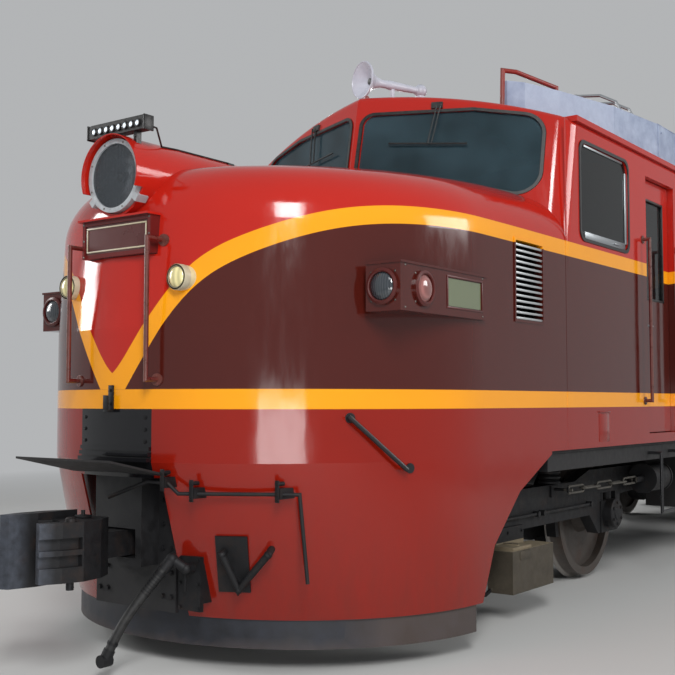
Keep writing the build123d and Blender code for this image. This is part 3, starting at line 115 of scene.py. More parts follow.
class LocoSettings(bpy.types.PropertyGroup):
    """Sizes and colours of the dressing."""

    upper_red: FloatVectorProperty(
        name="Upper red", description="Enamel above the swept stripe", subtype="COLOR", size=4,
        default=linear("#B01E12"), min=0.0, max=1.0)
    lower_red: FloatVectorProperty(
        name="Lower red", description="Enamel below the straight stripe", subtype="COLOR", size=4,
        default=linear("#861709"), min=0.0, max=1.0)
    maroon: FloatVectorProperty(
        name="Maroon", description="Enamel between the stripes", subtype="COLOR", size=4,
        default=linear("#471610"), min=0.0, max=1.0)
    stripe_yellow: FloatVectorProperty(
        name="Stripe yellow", description="Enamel of the stripes", subtype="COLOR", size=4,
        default=linear("#F29C12"), min=0.0, max=1.0)
    hose_diameter: FloatProperty(
        name="Hose diameter", description="Outer diameter of the brake hoses", default=0.056, unit="LENGTH")
    bolt_size: FloatProperty(
        name="Bolt size", description="Radius of a common bolt head", default=0.013, unit="LENGTH")
    screw_size: FloatProperty(
        name="Screw size", description="Radius of a common screw head", default=0.007, unit="LENGTH")
    led_count: IntProperty(
        name="Lamps in the light bar", description="Small lamps in each light bar", default=8, min=1)
    key_power: FloatProperty(
        name="Key light", description="Power of the main softbox", default=780.0, unit="POWER")


# Materials

def node(tree, kind, inputs=None, output=0, **settings):
    """Add a node with its settings, link or set its inputs, and return one output."""
    made = tree.nodes.new(kind)
    for key, value in settings.items():
        setattr(made, key, value)
    for socket, value in (inputs or {}).items():
        if isinstance(value, bpy.types.NodeSocket):
            tree.links.new(value, made.inputs[socket])
        else:
            made.inputs[socket].default_value = value
    return made.outputs[output]


def started(name):
    """A new node material: itself, its tree, its shader and the object's own coordinates."""
    material = bpy.data.materials.new(name)
    material.use_nodes = True
    tree = material.node_tree
    place = node(tree, "ShaderNodeTexCoord", output="Object")
    return material, tree, tree.nodes["Principled BSDF"], place


def reopened(material):
    """A material made before: its tree, its shader, the object's own coordinates and its colour so far."""
    tree = material.node_tree
    shader = tree.nodes["Principled BSDF"]
    color = shader.inputs["Base Color"].links[0].from_socket
    return tree, shader, node(tree, "ShaderNodeTexCoord", output="Object"), color


def joined(tree, shader, **sockets):
    """Set or link the shader's sockets, named with underscores for spaces."""
    for key, value in sockets.items():
        socket = shader.inputs[key.replace("_", " ")]
        if isinstance(value, bpy.types.NodeSocket):
            tree.links.new(value, socket)
        else:
            socket.default_value = value


def axes(tree, place):
    """Distances from the middle across and along the locomotive, and the height."""
    x, y, z = (node(tree, "ShaderNodeSeparateXYZ", {0: place}, axis) for axis in range(3))
    across, along = (node(tree, "ShaderNodeMath", {0: value}, operation="ABSOLUTE") for value in (x, y))
    return across, along, z


# A limit that no part of the locomotive reaches
FAR = 100.0


def within(tree, *limits):
    """1 where every value lies between its two limits, and 0 elsewhere."""
    inside = 1.0
    for value, least, most in limits:
        for limit, test in ((least, "GREATER_THAN"), (most, "LESS_THAN")):
            passed = node(tree, "ShaderNodeMath", {0: value, 1: limit}, operation=test)
            inside = node(tree, "ShaderNodeMath", {0: inside, 1: passed}, operation="MULTIPLY")
    return inside


# Louvres behind the marker boxes: distances behind the nose and heights of the opening, number of slats,
# height of the lowest one, and how far from the middle the opening's floor lies
LOUVRE = (2.18, 2.59, 2.12, 2.66)
LOUVRE_SLATS = 14
LOUVRE_FIRST = 2.124
LOUVRE_FLOOR = 1.50

# Livery: heights of the straight stripe, and the swept stripe on the nose in even steps, as
# distance from the middle, height of its centre, half its height
STRIPE_LOW = (1.52, 1.635)
SWEEP = (
    (0.000, 1.590, 0.108),
    (0.155, 1.800, 0.100),
    (0.310, 2.022, 0.094),
    (0.465, 2.235, 0.084),
    (0.620, 2.372, 0.071),
    (0.775, 2.456, 0.065),
    (0.930, 2.528, 0.061),
    (1.085, 2.594, 0.059),
    (1.240, 2.650, 0.058),
    (1.395, 2.685, 0.057),
    (1.550, 2.699, 0.055),
)
# Distance from the middle at which the sweep's steps end, and the heights that hold its centre
SWEEP_REACH = 1.6
SWEEP_LOW = 1.4
SWEEP_SPAN = 1.6
# Half the width over which one colour turns into the next
STRIPE_SOFT = 0.002
# Centre panel of the nose: half width, how far back it reaches, colour
PANEL_HALF = 0.304
PANEL_DEPTH = 0.6
PANEL_BLACK = "#131316"
# Box of the number board, with room to spare along Y: half width, heights, colour
BOARD_BOX = (0.302, 2.43, 2.662)
BOARD_MAROON = "#651E1C"
BOARD_DEPTH = 0.2
# Black of the louvre openings, painted shade in the recess behind the slats
LOUVRE_SHADE_BLACK = "#0A0809"
ROAD_DUST = "#3A2A24"


def sweep_line(tree, share, column, low, span):
    """A column of the sweep's table as a smooth line over the distance from the middle."""
    value = node(tree, "ShaderNodeValToRGB", {0: share})
    ramp = value.node.color_ramp
    ramp.interpolation = "B_SPLINE"
    while len(ramp.elements) < len(SWEEP):
        ramp.elements.new(0.5)
    for element, row in zip(ramp.elements, SWEEP):
        level = (row[column] - low) / span
        element.position = row[0] / SWEEP_REACH
        element.color = (level, level, level, 1)
    return node(tree, "ShaderNodeMath", {0: value, 1: span, 2: low}, operation="MULTIPLY_ADD")


def livery(tree, place, across, along, z):
    """The enamel's colours: reds and maroon, both stripes, centre panel, painted shade in the louvre
    openings, and number board.
    """
    share = node(tree, "ShaderNodeMath", {0: across, 1: SWEEP_REACH}, operation="DIVIDE")
    centre = sweep_line(tree, share, 1, SWEEP_LOW, SWEEP_SPAN)
    half = sweep_line(tree, share, 2, 0.0, 1.0)
    offset = node(tree, "ShaderNodeMath", {0: z, 1: centre}, operation="SUBTRACT")
    distance = node(tree, "ShaderNodeMath", {0: offset}, operation="ABSOLUTE")
    inside = node(tree, "ShaderNodeMath", {0: half, 1: distance}, operation="SUBTRACT")
    soft = {"From Min": -STRIPE_SOFT, "From Max": STRIPE_SOFT}
    above = node(tree, "ShaderNodeMapRange", {"Value": offset, **soft})
    sweep = node(tree, "ShaderNodeMapRange", {"Value": inside, **soft})
    over_foot, over_top = (
        node(tree, "ShaderNodeMapRange",
             {"Value": z, "From Min": level - STRIPE_SOFT, "From Max": level + STRIPE_SOFT})
        for level in STRIPE_LOW
    )
    # Each colour drifts by a few percent over a metre or two, as brushed panels do
    tone = node(tree, "ShaderNodeTexNoise", {"Vector": place, "Scale": per_metre(1400), "Detail": 3.0})
    shades = {}
    for name in ("upper_red", "lower_red", "maroon", "stripe_yellow"):
        shade = tuple(getattr(bpy.context.scene.loco, name))
        light = tuple(min(1.0, channel * 1.16) for channel in shade[:3]) + (1.0,)
        shades[name] = node(tree, "ShaderNodeMix", {0: tone, 6: shade, 7: light}, 2, data_type="RGBA")
    swept = node(tree, "ShaderNodeMath", {0: sweep, 1: over_top}, operation="MULTIPLY")
    panel = within(tree, (along, HALF_LENGTH - PANEL_DEPTH, FAR), (across, -1.0, PANEL_HALF),
                   (z, -1.0, STRIPE_LOW[0]))
    # The louvre openings get black as painted shade behind the slats
    first, last, bottom, top = LOUVRE
    louvre = within(tree, (along, HALF_LENGTH - last, HALF_LENGTH - first), (z, bottom, top),
                    (across, LOUVRE_FLOOR - 0.002, HALF_WIDTH - 0.002))
    board_half, board_low, board_high = BOARD_BOX
    board = within(tree, (across, -1.0, board_half), (z, board_low, board_high),
                   (along, HALF_LENGTH - BOARD_DEPTH, HALF_LENGTH + BOARD_DEPTH))
    # Where each layer shows, what lies under it and what lies over it: None is the colour so far
    layers = (
        (above, shades["maroon"], shades["upper_red"]),
        (swept, None, shades["stripe_yellow"]),
        (over_top, shades["stripe_yellow"], None),
        (over_foot, shades["lower_red"], None),
        (panel, None, linear(PANEL_BLACK)),
        (louvre, None, linear(LOUVRE_SHADE_BLACK)),
        (board, None, linear(BOARD_MAROON)),
    )
    color = None
    for where, under, over in layers:
        pair = {0: where, 6: color if under is None else under, 7: color if over is None else over}
        color = node(tree, "ShaderNodeMix", pair, 2, data_type="RGBA")
    return color


def body_enamel():
    # Brushed coach enamel, rubbed down and polished: deep colour, sharp lights, a faint ripple, dust low down
    material, tree, shader, place = started("coach_enamel")
    across, along, z = axes(tree, place)
    color = livery(tree, place, across, along, z)
    # Dust climbs from the skirt's edge in streaks about 60 mm wide
    low_dust = node(tree, "ShaderNodeMapRange", {"Value": z, "From Min": 1.15, "From Max": 0.3,
                                                 "To Max": 0.45})
    stretched = node(tree, "ShaderNodeMapping", {0: place, "Scale": (1.0, 1.0, 0.22)})
    streaks = node(tree, "ShaderNodeTexNoise", {"Vector": stretched, "Scale": per_metre(60), "Detail": 6.0,
                                                "Roughness": 0.65})
    dust = node(tree, "ShaderNodeMath", {0: low_dust, 1: streaks}, operation="MULTIPLY")
    color = node(tree, "ShaderNodeMix", {0: dust, 6: color, 7: linear(ROAD_DUST)}, 2, data_type="RGBA")
    rough = node(tree, "ShaderNodeMapRange", {"Value": streaks, "From Min": 0.35, "From Max": 0.75,
                                              "To Min": 0.07, "To Max": 0.19})
    # Sheet metal is never flat: shallow waves about 350 mm long, and brush marks about 8 mm wide
    waves = node(tree, "ShaderNodeTexNoise", {"Vector": place, "Scale": per_metre(350), "Detail": 1.0})
    brush = node(tree, "ShaderNodeTexNoise", {"Vector": stretched, "Scale": per_metre(8), "Detail": 2.0})
    ripple = node(tree, "ShaderNodeBump", {"Strength": 0.10, "Distance": 0.02, "Height": waves})
    marks = node(tree, "ShaderNodeBump", {"Strength": 0.03, "Distance": 0.001, "Height": brush,
                                          "Normal": ripple})
    joined(tree, shader, Base_Color=color, Roughness=rough, Normal=marks)
    return material


def painted(name, code, second, rough, cloud_mm=70, wear="#6B5A50", worn=0.35, grit_mm=6.0, bump=0.12):
    """Paint on metal: a slow drift between two tones, worn edges and a fine brushed skin."""
    material, tree, shader, place = started(name)
    cloud = node(tree, "ShaderNodeTexNoise", {"Vector": place, "Scale": per_metre(cloud_mm), "Detail": 6.0,
                                              "Roughness": 0.62})
    drift = node(tree, "ShaderNodeMapRange", {"Value": cloud, "From Min": 0.35, "From Max": 0.7})
    color = node(tree, "ShaderNodeMix", {0: drift, 6: linear(code), 7: linear(second)}, 2, data_type="RGBA")
    edge = node(tree, "ShaderNodeNewGeometry", output="Pointiness")
    rubbed = node(tree, "ShaderNodeMapRange", {"Value": edge, "From Min": 0.52, "From Max": 0.62,
                                               "To Max": worn})
    color = node(tree, "ShaderNodeMix", {0: rubbed, 6: color, 7: linear(wear)}, 2, data_type="RGBA")
    matt = node(tree, "ShaderNodeMapRange", {"Value": cloud, "From Min": 0.3, "From Max": 0.7,
                                             "To Min": rough - 0.08, "To Max": rough + 0.12})
    grit = node(tree, "ShaderNodeTexNoise", {"Vector": place, "Scale": per_metre(grit_mm), "Detail": 4.0})
    normal = node(tree, "ShaderNodeBump", {"Strength": bump, "Distance": 0.002, "Height": grit})
    joined(tree, shader, Base_Color=color, Roughness=matt, Normal=normal)
    return material


def cast_iron(name, code, second, rust, rough=0.6):
    """Sand-cast or forged iron under thin black paint: a pitted skin with rust in patches."""
    material, tree, shader, place = started(name)
    cloud = node(tree, "ShaderNodeTexNoise", {"Vector": place, "Scale": per_metre(55), "Detail": 8.0,
                                              "Roughness": 0.68})
    patches = node(tree, "ShaderNodeTexNoise", {"Vector": place, "Scale": per_metre(140), "Detail": 6.0,
                                                "Roughness": 0.7})
    spots = node(tree, "ShaderNodeMapRange", {"Value": patches, "From Min": 0.52, "From Max": 0.68,
                                              "To Max": 0.5})
    color = node(tree, "ShaderNodeMix", {0: cloud, 6: linear(code), 7: linear(second)}, 2, data_type="RGBA")
    color = node(tree, "ShaderNodeMix", {0: spots, 6: color, 7: linear(rust)}, 2, data_type="RGBA")
    matt = node(tree, "ShaderNodeMapRange", {"Value": cloud, "From Min": 0.3, "From Max": 0.7,
                                             "To Min": rough - 0.12, "To Max": rough + 0.12})
    pits = node(tree, "ShaderNodeTexNoise", {"Vector": place, "Scale": per_metre(9), "Detail": 5.0,
                                             "Roughness": 0.6})
    normal = node(tree, "ShaderNodeBump", {"Strength": 0.3, "Distance": 0.003, "Height": pits})
    joined(tree, shader, Base_Color=color, Roughness=matt, Normal=normal, Metallic=0.35)
    return material


# Parts of the bogies with their own look: least X, least and most distance from the middle along Y,
# least and most height, two colours
GEAR_MARKS = (
    (1.148, 4.25, 4.92, 0.20, 0.509, "#5F574A", "#2B261F"),
    # Sand box lids, lighter as painted light falling on their tops
    (1.148, 4.25, 4.92, 0.509, 0.54, "#9C8F78", "#6B604D"),
    (1.235, 2.42, 3.82, 0.80, 0.92, "#6E6A63", "#37342F"),
)


def running_gear():
    # Bogie ironwork: oily black castings with brown brake dust, worn paint on the sand boxes with painted
    # light on their lids, rubbed chains
    material = cast_iron("bogie_black_iron", "#0B0B0D", "#18181B", "#2C2019", 0.6)
    tree, shader, place, color = reopened(material)
    across, along, z = axes(tree, place)
    grime = node(tree, "ShaderNodeTexNoise", {"Vector": place, "Scale": per_metre(90), "Detail": 8.0,
                                              "Roughness": 0.7})
    for outside, first, last, low, high, light, dark in GEAR_MARKS:
        inside = within(tree, (across, outside, FAR), (along, first, last), (z, low, high))
        tone = node(tree, "ShaderNodeMix", {0: grime, 6: linear(light), 7: linear(dark)}, 2, data_type="RGBA")
        color = node(tree, "ShaderNodeMix", {0: inside, 6: color, 7: tone}, 2, data_type="RGBA")
    joined(tree, shader, Base_Color=color)
    return material


# Radii between which a wheel turns from its dusty plate into its polished tread
TREAD_EDGE = (0.555, 0.57)


def wheel_steel():
    # Rolled wheel steel: brown with brake dust on the plate, polished where it runs on the rail
    material = cast_iron("forged_wheel_steel", "#3A3532", "#5A524C", "#4A2E20", 0.5)
    tree, shader, place, color = reopened(material)
    matt = shader.inputs["Roughness"].links[0].from_socket
    _, along, z = axes(tree, place)
    # Distance from the nearest of the four axles, by folding the length of the locomotive twice
    for fold in (BOGIE_CENTRE, WHEEL_BASE / 2):
        along = node(tree, "ShaderNodeMath", {0: along, 1: fold}, operation="SUBTRACT")
        along = node(tree, "ShaderNodeMath", {0: along}, operation="ABSOLUTE")
    rise = node(tree, "ShaderNodeMath", {0: z, 1: AXLE_Z}, operation="SUBTRACT")
    spoke = node(tree, "ShaderNodeCombineXYZ", {0: along, 1: rise})
    radius = node(tree, "ShaderNodeVectorMath", {0: spoke}, "Value", operation="LENGTH")
    tread = node(tree, "ShaderNodeMapRange",
                 {"Value": radius, "From Min": TREAD_EDGE[0], "From Max": TREAD_EDGE[1]})
    color = node(tree, "ShaderNodeMix", {0: tread, 6: color, 7: linear("#8C8782")}, 2, data_type="RGBA")
    worn = node(tree, "ShaderNodeMix", {0: tread, 2: matt, 3: 0.28})
    joined(tree, shader, Base_Color=color, Roughness=worn)
    return material


# Distances ahead of the nose between which the coupler turns from painted iron into rubbed steel with a
# painted blue-grey highlight
RUBBED_AND_LIT_HEAD = (0.48, 0.56)


def coupler_iron():
    # Coupler casting: black and scaly, rubbed steel on the knuckle and guard arm with a painted blue-grey
    # highlight on it
    material = cast_iron("coupler_cast_steel", "#0D0D0F", "#1D1D20", "#33251E")
    tree, shader, place, color = reopened(material)
    _, along, _ = axes(tree, place)
    # Rubbed steel on the head, its blue-grey partly a painted highlight
    ahead = node(tree, "ShaderNodeMapRange", {"Value": along, "From Min": HALF_LENGTH + RUBBED_AND_LIT_HEAD[0],
                                              "From Max": HALF_LENGTH + RUBBED_AND_LIT_HEAD[1], "To Max": 0.6})
    scuffs = node(tree, "ShaderNodeTexNoise", {"Vector": place, "Scale": per_metre(45), "Detail": 6.0})
    rubbed = node(tree, "ShaderNodeMath", {0: ahead, 1: scuffs}, operation="MULTIPLY")
    color = node(tree, "ShaderNodeMix", {0: rubbed, 6: color, 7: linear("#6F7684")}, 2, data_type="RGBA")
    joined(tree, shader, Base_Color=color)
    return material


# Distance from the middle beyond which a pane belongs to the cab's side or a door, and gets painted shade
SHADED_PANE_X = 1.44


def window_glass():
    # Laminated cab glass: green-grey, clear enough to show the cab, with wiped dust; the side panes painted
    # dark as shade
    material, tree, shader, place = started("cab_glass_green")
    dust = node(tree, "ShaderNodeTexNoise", {"Vector": place, "Scale": per_metre(420), "Detail": 5.0})
    film = node(tree, "ShaderNodeMapRange", {"Value": dust, "From Min": 0.3, "From Max": 0.8})
    color = node(tree, "ShaderNodeMix", {0: film, 6: linear("#21373E"), 7: linear("#3E5964")}, 2,
                 data_type="RGBA")
    alpha = node(tree, "ShaderNodeMapRange", {"Value": dust, "From Min": 0.3, "From Max": 0.8,
                                              "To Min": 0.55, "To Max": 0.68})
    # The side panes, and the door panes, are painted dark and less clear, as painted shade of the cab behind
    # them
    across, _, _ = axes(tree, place)
    side = within(tree, (across, SHADED_PANE_X, FAR))
    color = node(tree, "ShaderNodeMix", {0: side, 6: color, 7: linear("#0E1314")}, 2, data_type="RGBA")
    alpha = node(tree, "ShaderNodeMix", {0: side, 2: alpha, 3: 0.72})
    joined(tree, shader, Base_Color=color, Roughness=0.03, Alpha=alpha)
    return material


def pressed_glass(name, code, flute_mm, alpha=1.0, rough=0.07):
    """Pressed lamp glass: shallow upright flutes that break up the light behind it, each flute lighter in a
    band as painted highlight.
    """
    material, tree, shader, place = started(name)
    flutes = node(tree, "ShaderNodeTexWave", {"Vector": place, "Scale": per_metre(flute_mm) / 6.3},
                  "Fac", wave_type="BANDS", bands_direction="X")
    flute_highlight = tuple(min(1.0, c * 1.5 + 0.01) for c in linear(code)[:3]) + (1.0,)
    color = node(tree, "ShaderNodeMix", {0: flutes, 6: linear(code), 7: flute_highlight}, 2, data_type="RGBA")
    normal = node(tree, "ShaderNodeBump", {"Strength": 0.3, "Distance": 0.002, "Height": flutes})
    joined(tree, shader, Base_Color=color, Roughness=rough, Normal=normal, Alpha=alpha,
           Coat_Weight=0.7, Coat_Roughness=0.03)
    return material


def reflector():
    # Silvered bowl, gone grey with age: mirror-bright in the middle, cloudy at the rim
    material, tree, shader, place = started("silvered_reflector")
    cloud = node(tree, "ShaderNodeTexNoise", {"Vector": place, "Scale": per_metre(60), "Detail": 5.0})
    color = node(tree, "ShaderNodeMix", {0: cloud, 6: linear("#9BA1A6"), 7: linear("#5F666C")}, 2,
                 data_type="RGBA")
    matt = node(tree, "ShaderNodeMapRange", {"Value": cloud, "To Min": 0.14, "To Max": 0.42})
    joined(tree, shader, Base_Color=color, Roughness=matt, Metallic=1.0)
    return material


def rubber(name, code, rough=0.55):
    """Moulded rubber: near black, dusty, with a fine matt grain."""
    material, tree, shader, place = started(name)
    cloud = node(tree, "ShaderNodeTexNoise", {"Vector": place, "Scale": per_metre(25), "Detail": 5.0})
    dusty = node(tree, "ShaderNodeMapRange", {"Value": cloud, "From Min": 0.4, "From Max": 0.75})
    color = node(tree, "ShaderNodeMix", {0: dusty, 6: linear(code), 7: linear("#2B2A29")}, 2,
                 data_type="RGBA")
    matt = node(tree, "ShaderNodeMapRange", {"Value": cloud, "To Min": rough - 0.12, "To Max": rough + 0.15})
    grain = node(tree, "ShaderNodeTexNoise", {"Vector": place, "Scale": per_metre(3), "Detail": 3.0})
    normal = node(tree, "ShaderNodeBump", {"Strength": 0.2, "Distance": 0.001, "Height": grain})
    joined(tree, shader, Base_Color=color, Roughness=matt, Normal=normal)
    return material


def leathercloth():
    # Black leathercloth: pebbled grain about 4 mm across, rubbed lighter where people sit
    material, tree, shader, place = started("leathercloth_black")
    grain = node(tree, "ShaderNodeTexVoronoi", {"Vector": place, "Scale": per_metre(4)}, "Distance",
                 feature="DISTANCE_TO_EDGE")
    cloud = node(tree, "ShaderNodeTexNoise", {"Vector": place, "Scale": per_metre(120)})
    color = node(tree, "ShaderNodeMix", {0: cloud, 6: linear("#1B1A1A"), 7: linear("#33302D")}, 2,
                 data_type="RGBA")
    normal = node(tree, "ShaderNodeBump", {"Strength": 0.4, "Distance": 0.002, "Height": grain})
    joined(tree, shader, Base_Color=color, Roughness=0.45, Normal=normal)
    return material


def machined(name, code, second, rough, metallic=1.0):
    """Bare machined or drawn metal: lines about 2 mm apart and a slow change of tone."""
    material, tree, shader, place = started(name)
    stretched = node(tree, "ShaderNodeMapping", {0: place, "Scale": (1.0, 1.0, 8.0)})
    lines = node(tree, "ShaderNodeTexNoise", {"Vector": stretched, "Scale": per_metre(16), "Detail": 4.0})
    color = node(tree, "ShaderNodeMix", {0: lines, 6: linear(code), 7: linear(second)}, 2, data_type="RGBA")
    matt = node(tree, "ShaderNodeMapRange", {"Value": lines, "From Min": 0.3, "From Max": 0.7,
                                             "To Min": rough - 0.08, "To Max": rough + 0.1})
    normal = node(tree, "ShaderNodeBump", {"Strength": 0.08, "Distance": 0.001, "Height": lines})
    joined(tree, shader, Base_Color=color, Roughness=matt, Normal=normal, Metallic=metallic)
    return material


def by_height(material, low, high, code, second):
    """Give what lies between two heights another paint."""
    tree, shader, place, color = reopened(material)
    _, _, z = axes(tree, place)
    cloud = node(tree, "ShaderNodeTexNoise", {"Vector": place, "Scale": per_metre(40), "Detail": 4.0})
    other = node(tree, "ShaderNodeMix", {0: cloud, 6: linear(code), 7: linear(second)}, 2, data_type="RGBA")
    between = within(tree, (z, low, high))
    color = node(tree, "ShaderNodeMix", {0: between, 6: color, 7: other}, 2, data_type="RGBA")
    joined(tree, shader, Base_Color=color)
    return material


# Height below which rails, grabs and steps are black
LOW_GRABS = 1.55


def rail_paint():
    # Dark red brushed on steel tube, with the low grabs and steps in black
    material = painted("rail_dark_red", "#541310", "#6A1D17", 0.3, 50)
    tree, shader, place, color = reopened(material)
    _, _, z = axes(tree, place)
    low = within(tree, (z, -1.0, LOW_GRABS))
    color = node(tree, "ShaderNodeMix", {0: low, 6: color, 7: linear("#17171A")}, 2, data_type="RGBA")
    joined(tree, shader, Base_Color=color)
    return material


def lit_lamp():
    # Small white lamp behind clear plastic, switched on but dim by day
    material, tree, shader, place = started("clear_lamp_plastic")
    cells = node(tree, "ShaderNodeTexVoronoi", {"Vector": place, "Scale": per_metre(9)}, "Distance")
    color = node(tree, "ShaderNodeMix", {0: cells, 6: linear("#E9EDF0"), 7: linear("#B9C2C8")}, 2,
                 data_type="RGBA")
    joined(tree, shader, Base_Color=color, Roughness=0.12, Coat_Weight=0.5,
           Emission_Color=linear("#DDE8F2"), Emission_Strength=0.6)
    return material


def lamp_ring():
    # Grey painted headlight ring, with the small round lamps below it in cream
    material = painted("lamp_ring_paint", "#A9ADB1", "#C1C4C7", 0.32, 50, "#6D7276")
    return by_height(material, 2.0, 2.5, "#E4D9B0", "#CFC398")


def collector_base():
    # Red pantograph base on glazed brown porcelain
    material = painted("pantograph_red", "#7F1A14", "#99261B", 0.4, 50)
    return by_height(material, 4.12, 4.29, "#5A3A28", "#43291C")


# How each finish is made
FINISHES = {
    "body": body_enamel,
    "maroon": lambda: painted("plate_maroon", "#4A1512", "#4F1713", 0.3, 900, "#7A4A42", 0.0, 30.0, 0.0),
    "cream": lambda: painted("plate_cream", "#D9CFB4", "#C4B999", 0.35),
    "frame": lambda: painted("chassis_black", "#0B0B0D", "#151518", 0.6, worn=0.03),
    "tread": lambda: painted("platform_black", "#08080A", "#121214", 0.74, worn=0.03),
    # Bright alloy for the strips on the louvre slats, a painted highlight of the light they catch
    "slat_highlight": lambda: machined("louvre_highlight_alloy", "#C9CBCC", "#94989B", 0.38, 0.6),
    "milk": lambda: pressed_glass("lamp_glass_opal", "#CFC48E", 20, rough=0.2),
    "iron": lambda: cast_iron("cast_iron_black", "#0D0D0F", "#1D1D20", "#33251E"),
    "gear": running_gear,
    "coupler": coupler_iron,
    "pilot": lambda: painted("pilot_grey", "#17191F", "#262932", 0.5, 120),
    "roof": lambda: painted("roof_screen_blue_grey", "#8F9CB8", "#B3C0D6", 0.42, 160, "#59616B", 0.08),
    "panto": lambda: painted("pantograph_tube_red", "#7F1A14", "#99261B", 0.4, 50),
    "base": collector_base,
    "strip": lambda: machined("collector_alloy", "#C9CCCF", "#8F9397", 0.35),
    "horn": lambda: painted("horn_pale_grey", "#C9CBD6", "#B9BBC8", 0.28, 60, "#7A7C80", 0.1),
    "rail": rail_paint,
    "steel": lambda: machined("worn_steel", "#7C7975", "#4A4744", 0.42),
    "wheel": wheel_steel,
    "ring": lamp_ring,
    "lamp": lambda: pressed_glass("headlight_glass", "#2E343A", 14, alpha=0.55),
    "clear": lambda: pressed_glass("marker_glass_clear", "#2C3136", 8),
    # The frosted clear side lens: its pink tone is the body's maroon painted in as reflection
    "red": lambda: pressed_glass("marker_glass_maroon_reflection", "#7E4E4A", 8),
    "number": lambda: pressed_glass("number_glass_green", "#545B42", 30, rough=0.16),
    "mirror": reflector,
    "led": lit_lamp,
    "glass": window_glass,
    "desk": lambda: painted("desk_grey_green", "#55635B", "#62716A", 0.45),
    "seat": leathercloth,
    "rubber": lambda: rubber("hose_rubber", "#121213"),
    "plastic": lambda: rubber("black_moulding", "#0C0C0D", 0.36),
    "alloy": lambda: machined("window_alloy", "#B9BDC0", "#8E9295", 0.34),
    "dial": lambda: painted("dial_white", "#D8D8D0", "#C8C8BE", 0.3, 20, "#A0A098", 0.1),
    "porcelain": lambda: painted("porcelain_brown", "#5A3A28", "#43291C", 0.14, 40, "#6B4A36", 0.1, 30.0,
                                 0.03),
    "copper": lambda: machined("busbar_copper", "#8A5A3A", "#5E3E2B", 0.4),
}

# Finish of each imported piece, by the start of its name: the longest that fits holds
NODE_FINISH = {
    "nose_": "body", "cab_front": "body", "cab_rear": "body", "door_": "body",
    "engine_room": "body", "marker_boxes": "body", "underframe": "frame", "roof_panels": "roof",
    "roof_rails": "panto", "cab_desks": "desk", "cab_seats": "seat", "headlights": "ring",
    "lamp_lenses": "lamp", "light_bars": "plastic", "handrails": "rail", "end_platforms": "tread",
    "uncoupling_levers": "iron", "horns": "horn", "wipers": "plastic", "window_gaskets": "plastic",
    "air_cocks": "iron", "hose_couplings": "iron", "underfloor_gear": "frame", "brake_hose_": "rubber",
    "cab_glass_": "glass", "pilot_": "pilot", "coupler_": "coupler", "bogie_": "gear", "traction_": "gear",
    "panto_": "panto", "panto_base_": "base", "panto_head_": "strip", "wheelset_": "wheel",
}

# Materials made so far
MADE = {}


def finish(name):
    """The material of a finish, made when it is first asked for."""
    if name not in MADE:
        MADE[name] = FINISHES[name]()
    return MADE[name]


# Making pieces

# Directions in the frame of the locomotive: to the front, to the rear, to its left side, and upwards
AHEAD = (0, -1, 0)
BEHIND = (0, 1, 0)
OUTWARDS = (1, 0, 0)
UPWARDS = (0, 0, 1)


def slab(bm, low, high, bevel=0.0):
    """Box between two corners, with its edges taken off."""
    low, high = Vector(low), Vector(high)
    size = Matrix.Diagonal((*(high - low), 1.0))
    made = bmesh.ops.create_cube(bm, size=1.0, matrix=Matrix.Translation((low + high) / 2) @ size)
    if bevel:
        edges = list({edge for vert in made["verts"] for edge in vert.link_edges})
        bmesh.ops.bevel(bm, geom=edges, offset=bevel, segments=2, profile=0.5, affect="EDGES", material=-1)


def looking(place, direction):
    """Matrix that puts a shape built along Z at a place, turned to a direction."""
    turn = Vector(direction).to_track_quat("Z", "Y").to_matrix().to_4x4()
    return Matrix.Translation(Vector(place)) @ turn


def rod(bm, start, end, radius, segments=16, end_radius=None):
    """Round bar between two points, tapered where a second radius is given."""
    along = Vector(end) - Vector(start)
    middle = Vector(start) + along / 2
    last = radius if end_radius is None else end_radius
    bmesh.ops.create_cone(bm, cap_ends=True, segments=segments, radius1=radius, radius2=last,
                          depth=along.length, matrix=looking(middle, along))


def boss(bm, place, direction, near, far, radius, segments=16, end_radius=None):
    """Round boss at a point, from one distance along a direction to another."""
    place, direction = Vector(place), Vector(direction)
    rod(bm, place + direction * near, place + direction * far, radius, segments, end_radius)


def bent(bm, points, radius, segments=12):
    """Round bar through a few points, with a ball at each bend."""
    for start, end in zip(points, points[1:]):
        rod(bm, start, end, radius, segments)
    for place in points[1:-1]:
        bmesh.ops.create_uvsphere(bm, u_segments=segments, v_segments=segments // 2, radius=radius,
                                  matrix=Matrix.Translation(Vector(place)))


def turned(bm, profile, place, direction, segments=32):
    """Shape turned about an axis, from a profile of radius and height along that axis."""
    known = set(bm.verts)
    verts = [bm.verts.new((radius, 0, height)) for radius, height in profile]
    edges = [bm.edges.new(pair) for pair in zip(verts, verts[1:])]
    bmesh.ops.spin(bm, geom=verts + edges, cent=(0, 0, 0), axis=UPWARDS, angle=2 * math.pi,
                   steps=segments, use_merge=True, use_duplicate=False)
    new = [vert for vert in bm.verts if vert not in known]
    bmesh.ops.remove_doubles(bm, verts=new, dist=0.00001)
    new = [vert for vert in bm.verts if vert not in known]
    bmesh.ops.transform(bm, matrix=looking(place, direction), verts=new)


def bolt(bm, place, direction, size):
    """Hexagon head on its washer."""
    direction = Vector(direction).normalized()
    boss(bm, place, direction, 0.0, size * 0.25, size * 1.35, 12)
    boss(bm, place, direction, size * 0.25, size * 0.95, size, 6)


def screw(bm, place, direction, size):
    """Low round screw head."""
    boss(bm, place, Vector(direction).normalized(), 0.0, size * 0.5, size, 12, size * 0.6)


